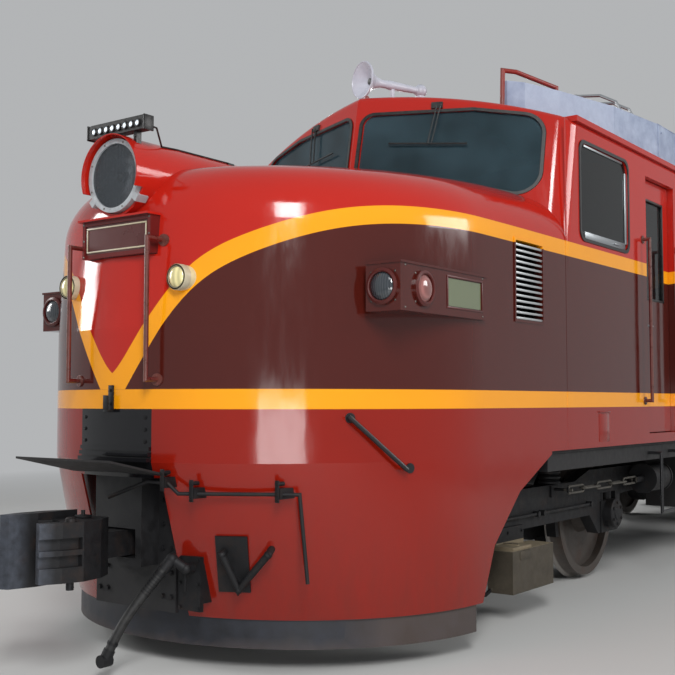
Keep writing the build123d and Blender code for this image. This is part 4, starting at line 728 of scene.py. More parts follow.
def round_places(centre, direction, radius, count, first_deg):
    """Points spaced evenly round a circle that faces a direction."""
    face = looking(centre, direction)
    for index in range(count):
        angle = math.radians(first_deg + 360 * index / count)
        yield face @ Vector((radius * math.cos(angle), radius * math.sin(angle), 0.0))


def border(first, last, low, high, width):
    """The four strips of a border within a rectangle, each as its first, last, low and high edge."""
    yield first, last, low, low + width
    yield first, last, high - width, high
    yield first, first + width, low + width, high - width
    yield last - width, last, low + width, high - width


def mirrored(bm):
    """Add the mirror image of all that a mesh holds, across the middle of the locomotive."""
    copy = bmesh.ops.duplicate(bm, geom=bm.verts[:] + bm.edges[:] + bm.faces[:])
    verts = [item for item in copy["geom"] if isinstance(item, bmesh.types.BMVert)]
    faces = [item for item in copy["geom"] if isinstance(item, bmesh.types.BMFace)]
    bmesh.ops.scale(bm, vec=(-1, 1, 1), verts=verts)
    bmesh.ops.reverse_faces(bm, faces=faces)


def piece(name, bm, finish_name, body="carbody", ends="both"):
    """Make an object of a mesh built for the front end, at both ends or at one of them."""
    half_turn = Matrix.Rotation(math.pi, 3, "Z")
    if ends == "both":
        copy = bmesh.ops.duplicate(bm, geom=bm.verts[:] + bm.edges[:] + bm.faces[:])
        verts = [item for item in copy["geom"] if isinstance(item, bmesh.types.BMVert)]
        bmesh.ops.rotate(bm, cent=(0, 0, 0), matrix=half_turn, verts=verts)
    if ends == "rear":
        bmesh.ops.rotate(bm, cent=(0, 0, 0), matrix=half_turn, verts=bm.verts[:])
    bmesh.ops.recalc_face_normals(bm, faces=bm.faces[:])
    for face in bm.faces:
        face.smooth = True
    for edge in bm.edges:
        edge.smooth = len(edge.link_faces) < 2 or edge.calc_face_angle(0.0) < math.radians(SHARP_DEG)
    mesh = bpy.data.meshes.new(name)
    bm.to_mesh(mesh)
    bm.free()
    mesh.materials.append(finish(finish_name))
    made = bpy.data.objects.new(name, mesh)
    bpy.context.scene.collection.objects.link(made)
    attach(made, body)
    return made


class LOCO_OT_finishes(bpy.types.Operator):
    """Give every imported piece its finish"""

    bl_idname = "loco.finishes"
    bl_label = "Finishes"

    def execute(self, context):
        for name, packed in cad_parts.items():
            keys = [key for key in NODE_FINISH if name.startswith(key)]
            packed.data.materials.clear()
            packed.data.materials.append(finish(NODE_FINISH[max(keys, key=len)]))
        return {"FINISHED"}


# Brake hose: its route as distance from the middle, distance behind the nose, height
HOSE_ROUTE = (
    (0.372, 0.075, 0.600),
    (0.333, 0.028, 0.525),
    (0.290, -0.027, 0.438),
    (0.248, -0.082, 0.345),
    (0.214, -0.128, 0.252),
    (0.190, -0.160, 0.165),
)
# Hose clamps: the run of the route that each is on, and its share of the way from cock to coupling
HOSE_CLAMPS = ((0, 0.05), (4, 0.93))
CLAMP_HALF = 0.008
CLAMP_WALL = 0.004
CLAMP_BOLT = 0.006
# Spring guard that keeps the hose from kinking below its cock: number of turns, how many of them lie on the
# route's first run, distance of the first one from the cock, pitch, half the thickness and height of a turn
GUARD_TURNS = 8
GUARD_STRAIGHT = 3
GUARD_START = 0.040
GUARD_PITCH = 0.018
GUARD_HALF = 0.0035
GUARD_WALL = 0.003


def hose_curve(name, route, diameter):
    """The hose itself, as a thick curve through its route."""
    curve = bpy.data.curves.new(name, "CURVE")
    curve.dimensions = "3D"
    curve.bevel_depth = diameter / 2
    curve.bevel_resolution = 6
    curve.resolution_u = 16
    curve.use_fill_caps = True
    spline = curve.splines.new("NURBS")
    spline.points.add(len(route) - 1)
    for point, place in zip(spline.points, route):
        point.co = (*place, 1.0)
    spline.order_u = 3
    spline.use_endpoint_u = True
    curve.materials.append(finish("rubber"))
    hose = bpy.data.objects.new(name, curve)
    bpy.context.scene.collection.objects.link(hose)
    return hose


def hose_rings(route, turn, radius):
    """Clamps and spring guard round a hose."""
    bm = bmesh.new()
    runs = [(end - start).normalized() for start, end in zip(route, route[1:])]
    for run, share in HOSE_CLAMPS:
        place = route[0].lerp(route[-1], share)
        centre = route[run] + runs[run] * (place - route[run]).dot(runs[run])
        boss(bm, centre, runs[run], -CLAMP_HALF, CLAMP_HALF, radius + CLAMP_WALL, 24)
        bolt(bm, centre + Vector((turn * (radius + CLAMP_WALL), 0, 0)), (turn, 0, 0), CLAMP_BOLT)
    for index in range(GUARD_TURNS):
        distance = GUARD_START + GUARD_PITCH * index
        centre = route[0] + runs[0] * distance
        if index >= GUARD_STRAIGHT:
            centre = route[1] + runs[1] * (distance - (route[1] - route[0]).length)
        boss(bm, centre, runs[0], -GUARD_HALF, GUARD_HALF, radius + GUARD_WALL, 20)
    return bm


class LOCO_OT_brake_hoses(bpy.types.Operator):
    """Hanging brake hose of each end, with its clamps and spring guard"""

    bl_idname = "loco.brake_hoses"
    bl_label = "Brake hoses"

    def execute(self, context):
        diameter = context.scene.loco.hose_diameter
        for end, turn in ENDS:
            route = [Vector((turn * x, turn * back(d), z)) for x, d, z in HOSE_ROUTE]
            hose = hose_curve(f"hose_{end}", route, diameter)
            rings = hose_rings(route, turn, diameter / 2)
            clamps = piece(f"hose_clamps_{end}", rings, "iron", ends="as_built")
            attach(hose, "carbody")
            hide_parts(f"brake_hose_{end}")
        return {"FINISHED"}


# Headlight: height of its middle, and its silvered bowl as radius and height from the bottom of the bowl
HEADLIGHT_Z = 2.92
BOWL = ((0.0, 0.0), (0.05, 0.003), (0.10, 0.012), (0.15, 0.028), (0.188, 0.044), (0.193, 0.044))
# Distances behind the nose: bottom of the bowl, end of the bulb's socket, tip of the bulb, face of the ring
BOWL_BACK = 0.0585
SOCKET_END = 0.045
BULB_TIP = 0.032
RING_FRONT = -0.010
# Screws of the ring: how far they lie from its middle, and how many
RING_SCREWS = (0.209, 8)
# Lip that carries the hood on over the ring: radius, thickness, distances behind the nose, arc in degrees
HOOD_RADIUS = 0.247
HOOD_SHEET = 0.006
HOOD_LIP = (-0.050, 0.05)
HOOD_ARC = (-22.0, 202.0)


class LOCO_OT_headlights(bpy.types.Operator):
    """Reflectors, bulb holders, hood lips and ring screws of the headlights"""

    bl_idname = "loco.headlights"
    bl_label = "Headlights"

    def execute(self, context):
        bowl = bmesh.new()
        turned(bowl, BOWL, (0, back(BOWL_BACK), HEADLIGHT_Z), AHEAD, 48)
        piece("headlight_reflectors", bowl, "mirror")
        holder = bmesh.new()
        rod(holder, (0, back(BOWL_BACK), HEADLIGHT_Z), (0, back(SOCKET_END), HEADLIGHT_Z), 0.03, 24)
        rod(holder, (0, back(SOCKET_END), HEADLIGHT_Z), (0, back(BULB_TIP), HEADLIGHT_Z), 0.02, 24, 0.012)
        piece("headlight_bulb_holders", holder, "steel")
        lip = bmesh.new()
        front, rear = HOOD_LIP
        first, last = (math.radians(angle) for angle in HOOD_ARC)
        verts = [lip.verts.new((HOOD_RADIUS, 0, height)) for height in (-rear, -front)]
        edge = lip.edges.new(verts)
        bmesh.ops.rotate(lip, cent=(0, 0, 0), matrix=Matrix.Rotation(first, 3, "Z"), verts=verts)
        bmesh.ops.spin(lip, geom=verts + [edge], cent=(0, 0, 0), axis=UPWARDS, steps=48,
                       angle=last - first, use_merge=False, use_duplicate=False)
        bmesh.ops.transform(lip, matrix=looking((0, back(0.0), HEADLIGHT_Z), AHEAD), verts=lip.verts[:])
        bmesh.ops.recalc_face_normals(lip, faces=lip.faces[:])
        bmesh.ops.solidify(lip, geom=lip.faces[:], thickness=HOOD_SHEET)
        piece("headlight_hood_lips", lip, "body")
        screws = bmesh.new()
        radius, count = RING_SCREWS
        for place in round_places((0, back(RING_FRONT), HEADLIGHT_Z), AHEAD, radius, count, 180 / count):
            screw(screws, place, AHEAD, context.scene.loco.screw_size)
        piece("headlight_screws", screws, "steel")
        return {"FINISHED"}


# Light bar: half its length, heights, and how far the lamps stay from its ends
LIGHT_BAR = (0.25, 3.175, 3.255)
BAR_END = 0.03
# Small lamp of the bar, as radius and height: rim and dome
BAR_RIM = ((0.024, -0.002), (0.024, 0.008), (0.018, 0.008), (0.018, 0.001))
BAR_DOME = ((0.018, 0.001), (0.014, 0.005), (0.007, 0.0072), (0.0, 0.0078))
# End caps: how far they reach to each side of the bar's end, how far they stand out, and distances behind
# the nose
CAP = (0.006, 0.006, -0.004, 0.074)
# Cooling fins: how many, distance behind the nose of the first one, pitch, distance from the bar's ends,
# thickness, height
FINS = (5, 0.012, 0.012, 0.01, 0.004, 0.008)
# Feet of the bar: bolt's distance from the middle, distance behind the nose, height under the bar
BAR_FOOT = (0.1525, 0.02, 0.03)
# Cable, along the top of the nose to its gland: distance from the middle, distance behind the nose, height
BAR_CABLE = ((0.15, 0.24, 3.122), (0.12, 0.40, 3.138), (0.12, 0.88, 3.138))
BAR_GLAND = ((0.12, 0.86, 3.128), (0.12, 0.92, 3.128))


class LOCO_OT_light_bars(bpy.types.Operator):
    """Small lamps, end caps, cooling fins and cable of the light bars"""

    bl_idname = "loco.light_bars"
    bl_label = "Light bars"

    def execute(self, context):
        half, low, high = LIGHT_BAR
        middle = (low + high) / 2
        count = context.scene.loco.led_count
        step = 2 * (half - BAR_END) / count
        lamps = bmesh.new()
        fittings = bmesh.new()
        for index in range(count):
            place = (-half + BAR_END + step * (index + 0.5), back(0.0), middle)
            turned(fittings, BAR_RIM, place, AHEAD, 20)
            turned(lamps, BAR_DOME, place, AHEAD, 20)
        reach, proud, front, rear = CAP
        for x in (-half, half):
            slab(fittings, (x - reach, back(front), low - proud),
                 (x + reach, back(rear), high + proud), 0.003)
        fins, start, pitch, inset, thickness, rise = FINS
        for row in range(fins):
            y = back(start + row * pitch)
            slab(fittings, (-half + inset, y, high), (half - inset, y + thickness, high + rise))
        foot_x, foot_back, drop = BAR_FOOT
        for x in (-foot_x, foot_x):
            bolt(fittings, (x, back(foot_back), low - drop), AHEAD, 0.008)
        # The cable leaves the bar at its left end
        leaving = ((half - 0.04, 0.07, middle), (half - 0.03, 0.13, middle - 0.01))
        bent(fittings, behind(*leaving, *BAR_CABLE), 0.006, 8)
        rod(fittings, *behind(*BAR_GLAND), 0.014)
        piece("light_bar_lamps", lamps, "led")
        piece("light_bar_fittings", fittings, "plastic")
        return {"FINISHED"}


# Number board: half width and heights inside its rim, and distance behind the nose of its recessed face
BOARD = (0.276, 2.459, 2.636)
BOARD_FACE = 0.024
PLATE_THICKNESS = 0.006
PLATE_PLAY = 0.001
# Raised line on the plate: its width, how far it stands out, its distance from the edge
PLATE_LINE = (0.010, 0.004, 0.012)
# Screws of the rim: distance from the middle, distance behind the nose, heights
RIM_SCREWS = (0.288, 0.012, (2.448, 2.547, 2.648))


class LOCO_OT_number_boards(bpy.types.Operator):
    """Blank number plates with a raised line round the edge"""

    bl_idname = "loco.number_boards"
    bl_label = "Number boards"

    def execute(self, context):
        half, low, high = BOARD
        face = BOARD_FACE - PLATE_THICKNESS
        plate = bmesh.new()
        slab(plate, (-half + PLATE_PLAY, back(face), low + PLATE_PLAY),
             (half - PLATE_PLAY, back(BOARD_FACE), high - PLATE_PLAY))
        piece("number_plates", plate, "maroon")
        lines = bmesh.new()
        width, proud, inset = PLATE_LINE
        for a, b, c, d in border(-half + inset, half - inset, low + inset, high - inset, width):
            slab(lines, (a, back(face - proud), c), (b, back(face), d), 0.002)
        piece("number_plate_lines", lines, "cream")
        screws = bmesh.new()
        screw_x, screw_back, heights = RIM_SCREWS
        for x in (-screw_x, screw_x):
            for z in heights:
                screw(screws, (x, back(screw_back), z), AHEAD, context.scene.loco.screw_size)
        piece("number_board_screws", screws, "steel")
        return {"FINISHED"}


# Marker box: X of its inner edge and outer face, distance behind the nose of its front, length,
# height of the lamps, and how far behind its front the lamp in its side lies
MARKER_X = (1.34, 1.58)
MARKER_FRONT = 0.72
MARKER_LENGTH = 1.0
MARKER_MIDDLE = 2.221
SIDE_LAMP = 0.242
# Domed glass and its rim, as radius and height over the face of the box
MARKER_DOME = ((0.081, 0.0096), (0.070, 0.020), (0.048, 0.030), (0.024, 0.035), (0.0, 0.0365))
MARKER_RIM = ((0.083, 0.0), (0.083, 0.021), (0.090, 0.025), (0.104, 0.019), (0.107, 0.012))
# Screws round each lamp: distance from its middle and number. Screws in the box's corners: shares of its
# length, and heights
LAMP_SCREWS = (0.117, 4)
CORNER_SCREWS = ((0.05, 0.95), (2.10, 2.342))
# Pane of the number window: distances behind the nose and heights of the opening, play round the pane,
# distances of the pane's faces inside the box's face
NUMBER_WINDOW = (1.24, 1.655, 2.137, 2.314)
PANE_PLAY = 0.004
PANE_DEPTH = (0.0078, 0.004)
# Frame round the number window: width, how deep it starts and how far it stands out
WINDOW_FRAME = (0.012, 0.001, 0.005)


class LOCO_OT_marker_lamps(bpy.types.Operator):
    """Domed glasses, rims, screws and number panes of the marker boxes"""

    bl_idname = "loco.marker_lamps"
    bl_label = "Marker lamps"

    def execute(self, context):
        size = context.scene.loco.screw_size
        inner, outer = MARKER_X
        rims = bmesh.new()
        screws = bmesh.new()
        lamps = (
            ("clear", ((inner + outer) / 2, back(MARKER_FRONT), MARKER_MIDDLE), AHEAD),
            # The side lens's colour is a painted reflection of the maroon body
            ("red", (outer, back(MARKER_FRONT + SIDE_LAMP), MARKER_MIDDLE), OUTWARDS),
        )
        for name, place, direction in lamps:
            glass = bmesh.new()
            turned(glass, MARKER_DOME, place, direction, 36)
            mirrored(glass)
            piece(f"marker_glasses_{name}", glass, name)
            turned(rims, MARKER_RIM, place, direction, 36)
            radius, count = LAMP_SCREWS
            for spot in round_places(place, direction, radius, count, 180 / count):
                screw(screws, spot, direction, size)
        first, last, low, high = NUMBER_WINDOW
        panes = bmesh.new()
        deep, shallow = PANE_DEPTH
        slab(panes, (outer - deep, back(first + PANE_PLAY), low + PANE_PLAY),
             (outer - shallow, back(last - PANE_PLAY), high - PANE_PLAY))
        width, sunk, proud = WINDOW_FRAME
        for a, b, c, d in border(first - width, last + width, low - width, high + width, width):
            slab(rims, (outer - sunk, back(a), c), (outer + proud, back(b), d), 0.0015)
        shares, heights = CORNER_SCREWS
        for share in shares:
            for z in heights:
                screw(screws, (outer, back(MARKER_FRONT + share * MARKER_LENGTH), z), OUTWARDS, size)
        for bm in (panes, rims, screws):
            mirrored(bm)
        piece("number_panes", panes, "number")
        piece("marker_rims", rims, "maroon")
        piece("marker_screws", screws, "steel")
        return {"FINISHED"}


# Round lamp on the nose: distance from the middle, distance behind the nose, height
ROUND_LAMP = (0.48, 0.043, 2.28)
# Its glass, and its rim turned towards the rear, as radius and height
ROUND_GLASS = ((0.060, 0.0), (0.050, 0.012), (0.030, 0.019), (0.0, 0.022))
ROUND_GLASS_SUNK = 0.006
ROUND_RIM = ((0.0735, 0.05), (0.0765, 0.05), (0.0765, 0.004), (0.0735, 0.0), (0.062, 0.0), (0.062, 0.006))
# Feet of the rails and grabs on the nose: distance from the middle, height, radius, how far each stands
# out, and heights of its screws over its middle
NOSE_FEET = (
    (0.340, 2.510, 0.036, 0.010, (-0.024, 0.024)),
    (0.340, 1.690, 0.036, 0.010, (-0.024, 0.024)),
    (1.245, 1.468, 0.030, 0.008, ()),
    (1.425, 1.170, 0.030, 0.008, ()),
)
FOOT_SUNK = 0.004
FOOT_SCREW = 0.006
# Lamp iron: half width, then each bar's distances ahead of the nose and heights, and heights of its bolts
IRON_HALF = 0.020
IRON_BARS = (
    (0.000, 0.012, 1.500, 1.660),
    (0.012, 0.052, 1.500, 1.512),
    (0.042, 0.052, 1.512, 1.600),
)
IRON_BOLTS = (1.55, 1.63)
# Bolts of the black centre panel: distance from the middle, heights, share of the usual size
PANEL_BOLTS = (0.262, (1.33, 1.40, 1.47), 0.7)
# Straps that hold the uncoupling lever: distance from the middle, distance behind the nose, height
LEVER_STRAPS = (
    (0.420, 0.036, 1.098),
    (0.580, 0.108, 1.040),
    (1.000, 0.362, 1.040),
)
# Strap: half width, distances ahead of its place, heights below and above it
STRAP = (0.014, 0.020, 0.030, 0.045, 0.080)


class LOCO_OT_nose_fittings(bpy.types.Operator):
    """Round lamp glasses, rail feet, lamp iron, lever straps and small bolts on the nose"""

    bl_idname = "loco.nose_fittings"
    bl_label = "Nose fittings"

    def execute(self, context):
        x, d, z = ROUND_LAMP
        glasses = bmesh.new()
        turned(glasses, ROUND_GLASS, (x, back(d + ROUND_GLASS_SUNK), z), AHEAD, 28)
        mirrored(glasses)
        piece("round_lamp_glasses", glasses, "milk")
        rims = bmesh.new()
        turned(rims, ROUND_RIM, (x, back(d), z), BEHIND, 32)
        mirrored(rims)
        piece("round_lamp_rims", rims, "cream")
        feet = bmesh.new()
        for x, z, radius, proud, lifts in NOSE_FEET:
            place, outwards = on_nose(x, z)
            boss(feet, place, outwards, -FOOT_SUNK, proud, radius, 20)
            for lift in lifts:
                screw(feet, place + outwards * proud + Vector((0, 0, lift)), outwards, FOOT_SCREW)
        mirrored(feet)
        piece("rail_feet", feet, "rail")
        iron = bmesh.new()
        for near, far, low, high in IRON_BARS:
            slab(iron, (-IRON_HALF, back(-far), low), (IRON_HALF, back(-near), high), 0.002)
        for z in IRON_BOLTS:
            bolt(iron, (0, back(-IRON_BARS[0][1]), z), AHEAD, 0.007)
        piece("lamp_irons", iron, "iron")
        bolts = bmesh.new()
        x, heights, share = PANEL_BOLTS
        for z in heights:
            place, outwards = on_nose(x, z)
            bolt(bolts, place, outwards, context.scene.loco.bolt_size * share)
        mirrored(bolts)
        piece("centre_panel_bolts", bolts, "iron")
        straps = bmesh.new()
        half, near, far, drop, rise = STRAP
        for x, d, z in LEVER_STRAPS:
            y = back(d)
            slab(straps, (x - half, y - far, z - drop), (x + half, y - near, z + rise), 0.003)
            rod(straps, (x, y - far - 0.004, z + 0.060), (x, y + 0.030, z + 0.060), 0.012, 16)
            bolt(straps, (x, y - far, z - 0.030), AHEAD, 0.007)
        piece("lever_straps", straps, "iron")
        return {"FINISHED"}


# Cab side window: distances behind the nose and heights of its opening, radius of its corners
SIDE_WINDOW = (3.27, 4.22, 2.81, 3.55)
WINDOW_CORNER = 0.09
# Alloy of the side window: distances of its inner face and of the sill's outer face from the middle
SASH_FACE = 1.5365
SILL_FACE = 1.548


class LOCO_OT_side_windows(bpy.types.Operator):
    """Alloy sashes in the cab side windows"""

    bl_idname = "loco.side_windows"
    bl_label = "Side windows"

    def execute(self, context):
        front, rear, low, high = SIDE_WINDOW
        corner = WINDOW_CORNER
        # Sill, rear bar, top bar and pull: distances from the middle and behind the nose, heights, bevel
        bars = (
            (SASH_FACE, SILL_FACE, front + corner, rear - corner * 0.6, low + 0.004, low + 0.058, 0.003),
            (SASH_FACE, 1.546, rear - 0.048, rear - 0.004, low + corner * 0.6, high - corner, 0.003),
            (SASH_FACE, 1.544, front + corner, rear - corner, high - 0.022, high - 0.004, 0.002),
            (SILL_FACE, 1.556, rear - 0.30, rear - 0.18, low + 0.022, low + 0.036, 0.002),
        )
        sashes = bmesh.new()
        for inner, outer, first, last, bottom, top, bevel in bars:
            slab(sashes, (inner, back(first), bottom), (outer, back(last), top), bevel)
        mirrored(sashes)
        piece("side_window_sashes", sashes, "alloy")
        return {"FINISHED"}


# Door window: distances behind the nose and heights. Door: distances of its faces from the middle
DOOR_WINDOW = (4.77, 5.21, 2.45, 3.35)
DOOR_FACE = (1.452, 1.492)
# Pane: distances of its faces outside the door's inner face, and how far it reaches into its groove
DOOR_PANE = (0.016, 0.022)
PANE_GROOVE = 0.004
# Seal round the pane: its width, and how far it stands out of the door
DOOR_SEAL = (0.02, 0.003)
# Lock plate: distance ahead of the window, half width, heights, thickness
LOCK_PLATE = (0.075, 0.022, 2.06, 2.28, 0.004)
# Door handle: height, distance from the door, length, radius. Keyhole: height
HANDLE = (2.22, 0.036, 0.12, 0.009)
KEYHOLE_Z = 2.10


class LOCO_OT_door_fittings(bpy.types.Operator):
    """Panes, seals, handles and lock plates of the cab doors"""

    bl_idname = "loco.door_fittings"
    bl_label = "Door fittings"

    def execute(self, context):
        front, rear, low, high = DOOR_WINDOW
        inner, outer = DOOR_FACE
        pane_inner, pane_outer = (inner + depth for depth in DOOR_PANE)
        groove = PANE_GROOVE
        width, proud = DOOR_SEAL
        strips = (
            (front, rear, low, low + width),
            (front, rear, high - width, high),
            (front, front + width, low, high),
            (rear - width, rear, low, high),
        )
        ahead, half, bottom, top, thickness = LOCK_PLATE
        y = back(front - ahead)
        z, reach, length, radius = HANDLE
        for end, _ in ENDS:
            for side, sign in SIDES:
                pane = bmesh.new()
                slab(pane, (pane_inner, back(front - groove), low - groove),
                     (pane_outer, back(rear + groove), high + groove))
                seal = bmesh.new()
                for a, b, c, d in strips:
                    slab(seal, (pane_outer, back(a), c), (outer + proud, back(b), d), 0.002)
                lock = bmesh.new()
                slab(lock, (outer, y - half, bottom), (outer + thickness, y + half, top), 0.0015)
                boss(lock, (outer, y, z), OUTWARDS, thickness, reach + 0.004, 0.011)
                rod(lock, (outer + reach, y, z), (outer + reach, y + length, z), radius, 12)
                boss(lock, (outer, y, KEYHOLE_Z), OUTWARDS, thickness, 0.008, 0.012)
                parts = ((pane, "pane", "glass"), (seal, "seal", "plastic"), (lock, "lock", "alloy"))
                for bm, label, kind in parts:
                    if sign < 0:
                        bmesh.ops.scale(bm, vec=(-1, 1, 1), verts=bm.verts[:])
                    piece(f"door_{label}_{side}_{end}", bm, kind, f"door_{side}_{end}", end)
        return {"FINISHED"}


# Coupler: height of its middle and half height of its head
COUPLER_Z = 0.73
COUPLER_HEAD_HALF = 0.165
# Knuckle pin: distance from the middle, distance ahead of the nose, and its head as radius and height
KNUCKLE_PIN = (0.105, 0.38)
PIN_HEAD = ((0.0, 0.026), (0.020, 0.026), (0.030, 0.018), (0.032, 0.0))
# Lock lifter on the coupler head: half width, distances ahead of the nose, height of its block and its pin
LIFTER = (0.035, 0.17, 0.24, 0.018, 0.045)
# Bolts of the coupler's housing: distances from the middle, distance behind the nose, heights
HOUSING_BOLTS = ((-0.31, -0.24, 0.24, 0.31), 0.2, (0.42, 0.56, 0.70, 0.84, 0.98))


class LOCO_OT_coupler_fittings(bpy.types.Operator):
    """Knuckle pins and lock lifters of the couplers, and bolts of their housings"""

    bl_idname = "loco.coupler_fittings"
    bl_label = "Coupler fittings"

    def execute(self, context):
        x, ahead = KNUCKLE_PIN
        y = back(-ahead)
        top = COUPLER_Z + COUPLER_HEAD_HALF
        low = COUPLER_Z - COUPLER_HEAD_HALF
        half, near, far, block, pin = LIFTER
        middle = back(-(near + far) / 2)
        for end, _ in ENDS:
            pins = bmesh.new()
            turned(pins, PIN_HEAD, (x, y, top), UPWARDS, 20)
            rod(pins, (x, y, low - 0.045), (x, y, low), 0.022)
            rod(pins, (x - 0.03, y, low - 0.03), (x + 0.03, y, low - 0.03), 0.005, 8)
            slab(pins, (-half, back(-far), top), (half, back(-near), top + block), 0.004)
            rod(pins, (0, middle, top + block), (0, middle, top + pin), 0.012, 12)
            piece(f"coupler_pins_{end}", pins, "iron", f"coupler_{end}", end)
        bolts = bmesh.new()
        places, behind, heights = HOUSING_BOLTS
        for x in places:
            for z in heights:
                bolt(bolts, (x, back(behind), z), AHEAD, context.scene.loco.bolt_size)
        piece("headstock_bolts", bolts, "iron")
        return {"FINISHED"}


# Plate of the air cocks on the skirt: distance behind the nose, distances from the middle and heights of
# its bolts. Spindle of the cock handle: distance from the middle, height
COCK_BACK = 0.208
COCK_BOLTS = ((0.374, 0.519), (0.372, 0.51, 0.65))
COCK_SPINDLE = (0.455, 0.60)


class LOCO_OT_air_fittings(bpy.types.Operator):
    """Bolts and cock handles of the air connections on the skirt"""

    bl_idname = "loco.air_fittings"
    bl_label = "Air fittings"

    def execute(self, context):
        bm = bmesh.new()
        y = back(COCK_BACK)
        places, heights = COCK_BOLTS
        for x in places:
            for z in heights:
                bolt(bm, (x, y, z), AHEAD, 0.009)
        x, z = COCK_SPINDLE
        boss(bm, (x, y, z), AHEAD, 0.002, 0.036, 0.016)
        slab(bm, (x - 0.008, y - 0.044, z - 0.13), (x + 0.008, y - 0.036, z + 0.01), 0.003)
        piece("air_cock_fittings", bm, "iron")
        return {"FINISHED"}


# Roof: heights of its edge and of its crown
ROOF_EDGE = 3.7
ROOF_CROWN = 3.99


def roof_height(x):
    """Height of the arched roof at a distance from the middle."""
    rise = ROOF_CROWN - ROOF_EDGE
    radius = (HALF_WIDTH ** 2 + rise ** 2) / (2 * rise)
    return ROOF_CROWN - radius + math.sqrt(radius ** 2 - x ** 2)


# Post insulators: distances ahead of the locomotive's middle, height, height of a metal cap, radius of the
# core, number of sheds, and one shed as radius and share of the pitch
BUS_POSTS = (0.18, 0.62)
BUS_HEIGHT = 0.24
POST_CAP = 0.03
POST_CORE = 0.036
SHEDS = 4
SHED = ((POST_CORE, 0.0), (0.064, 0.35), (0.066, 0.5), (POST_CORE, 0.75))
# Last two points of the bus bar, at the pantograph's foot
BUS_END = ((0.12, -0.95, 4.30), (0.43, -1.38, 4.34))
# Roof hatches: half width, places of their cross seams along Y, half width of a seam, steps over the arch
HATCH_HALF = 0.62
HATCH_SEAMS = (-1.38, -0.42)
SEAM_HALF = 0.008
SEAM_STEPS = 10
# Lifting lugs: places along Y, distance from the middle, half length
LUGS = ((-1.2, -0.6, -0.2), 0.66, 0.03)


class LOCO_OT_roof_gear(bpy.types.Operator):
    """Post insulators, bus bar and hatches on the roof between the pantographs"""

    bl_idname = "loco.roof_gear"
    bl_label = "Roof gear"

    def execute(self, context):
        posts = bmesh.new()
        caps = bmesh.new()
        pitch = (BUS_HEIGHT - 2 * POST_CAP) / SHEDS
        profile = [(0.0, 0.02), (POST_CORE, 0.02)]
        for index in range(SHEDS):
            profile += [(radius, POST_CAP + pitch * (index + share)) for radius, share in SHED]
        profile += [(POST_CORE, BUS_HEIGHT - POST_CAP), (0.0, BUS_HEIGHT - POST_CAP)]
        for y in BUS_POSTS:
            foot = (0, -y, ROOF_CROWN)
            turned(posts, profile, foot, UPWARDS, 24)
            boss(caps, foot, UPWARDS, -0.02, 0.021, 0.055, 20)
            boss(caps, foot, UPWARDS, BUS_HEIGHT - 0.031, BUS_HEIGHT, 0.04, 20)
            for x in (-0.042, 0.042):
                bolt(caps, (x, -y, ROOF_CROWN + 0.021), UPWARDS, 0.007)
        piece("bus_insulators", posts, "porcelain")
        piece("bus_insulator_caps", caps, "steel")
        bar = bmesh.new()
        top = ROOF_CROWN + BUS_HEIGHT + 0.012
        bent(bar, ((0, 0.0, top), (0, -BUS_POSTS[-1] - 0.1, top), *BUS_END), 0.012)
        piece("bus_bar", bar, "copper")
        seams = bmesh.new()
        step = 2 * HATCH_HALF / SEAM_STEPS
        for y in HATCH_SEAMS:
            for index in range(SEAM_STEPS):
                x0 = -HATCH_HALF + step * index
                x1 = x0 + step
                z = roof_height(max(abs(x0), abs(x1)))
                slab(seams, (x0, y - SEAM_HALF, z - 0.02), (x1, y + SEAM_HALF, z + 0.014))
        for y0, y1 in zip(HATCH_SEAMS, (*HATCH_SEAMS[1:], 0.0)):
            for x in (-HATCH_HALF, HATCH_HALF):
                z = roof_height(x)
                slab(seams, (x - SEAM_HALF, y0, z - 0.02), (x + SEAM_HALF, y1, z + 0.012))
        piece("roof_hatch_seams", seams, "body")
        lugs = bmesh.new()
        places, distance, half = LUGS
        low = roof_height(distance + half) - 0.01
        high = roof_height(distance) + 0.05
        for y in places:
            for x in (-distance, distance):
                slab(lugs, (x - half, y - 0.008, low), (x + half, y + 0.008, high), 0.003)
        piece("roof_lifting_lugs", lugs, "steel")
        return {"FINISHED"}


# Horn on the cab roof: distance from the middle, distance behind the nose and height of bell and tail
HORN_BELL = (0.0, 2.6, 4.145)
HORN_TAIL = (0.204, 3.13, 4.145)
HORN_RADIUS = 0.147
# Rolled rim: how much wider than the bell, and height over its edge. Throat, a black disc as painted shade
# deep in the horn's opening: radius, and height over the edge
HORN_RIM = ((-0.008, 0.012), (-0.004, 0.018), (0.003, 0.016), (0.005, 0.008), (0.001, 0.003))
HORN_THROAT_SHADE = ((0.0, -0.060), (0.020, -0.059), (0.027, -0.0575))


class LOCO_OT_horns(bpy.types.Operator):
    """Rolled rim of the horns, and a black disc as painted shade in their throats"""

    bl_idname = "loco.horns"
    bl_label = "Horns"

    def execute(self, context):
        bell, tail = behind(HORN_BELL, HORN_TAIL)
        outwards = (bell - tail).normalized()
        rims = bmesh.new()
        turned(rims, [(HORN_RADIUS + wider, height) for wider, height in HORN_RIM], bell, outwards, 40)
        piece("horn_rims", rims, "horn")
        throat_shades = bmesh.new()
        turned(throat_shades, HORN_THROAT_SHADE, bell, outwards, 28)
        piece("horn_throat_shades", throat_shades, "plastic")
        return {"FINISHED"}


# Roof screens: distance of their face from the middle, places of the bolt rows along Y, heights of the
# bolts, share of the usual bolt size
SCREEN_X = 1.25
SCREEN_ROWS = (-1.5, -1.0, -0.5, 0.0)
SCREEN_BOLTS = (3.93, 4.20)
SCREEN_BOLT = 0.8


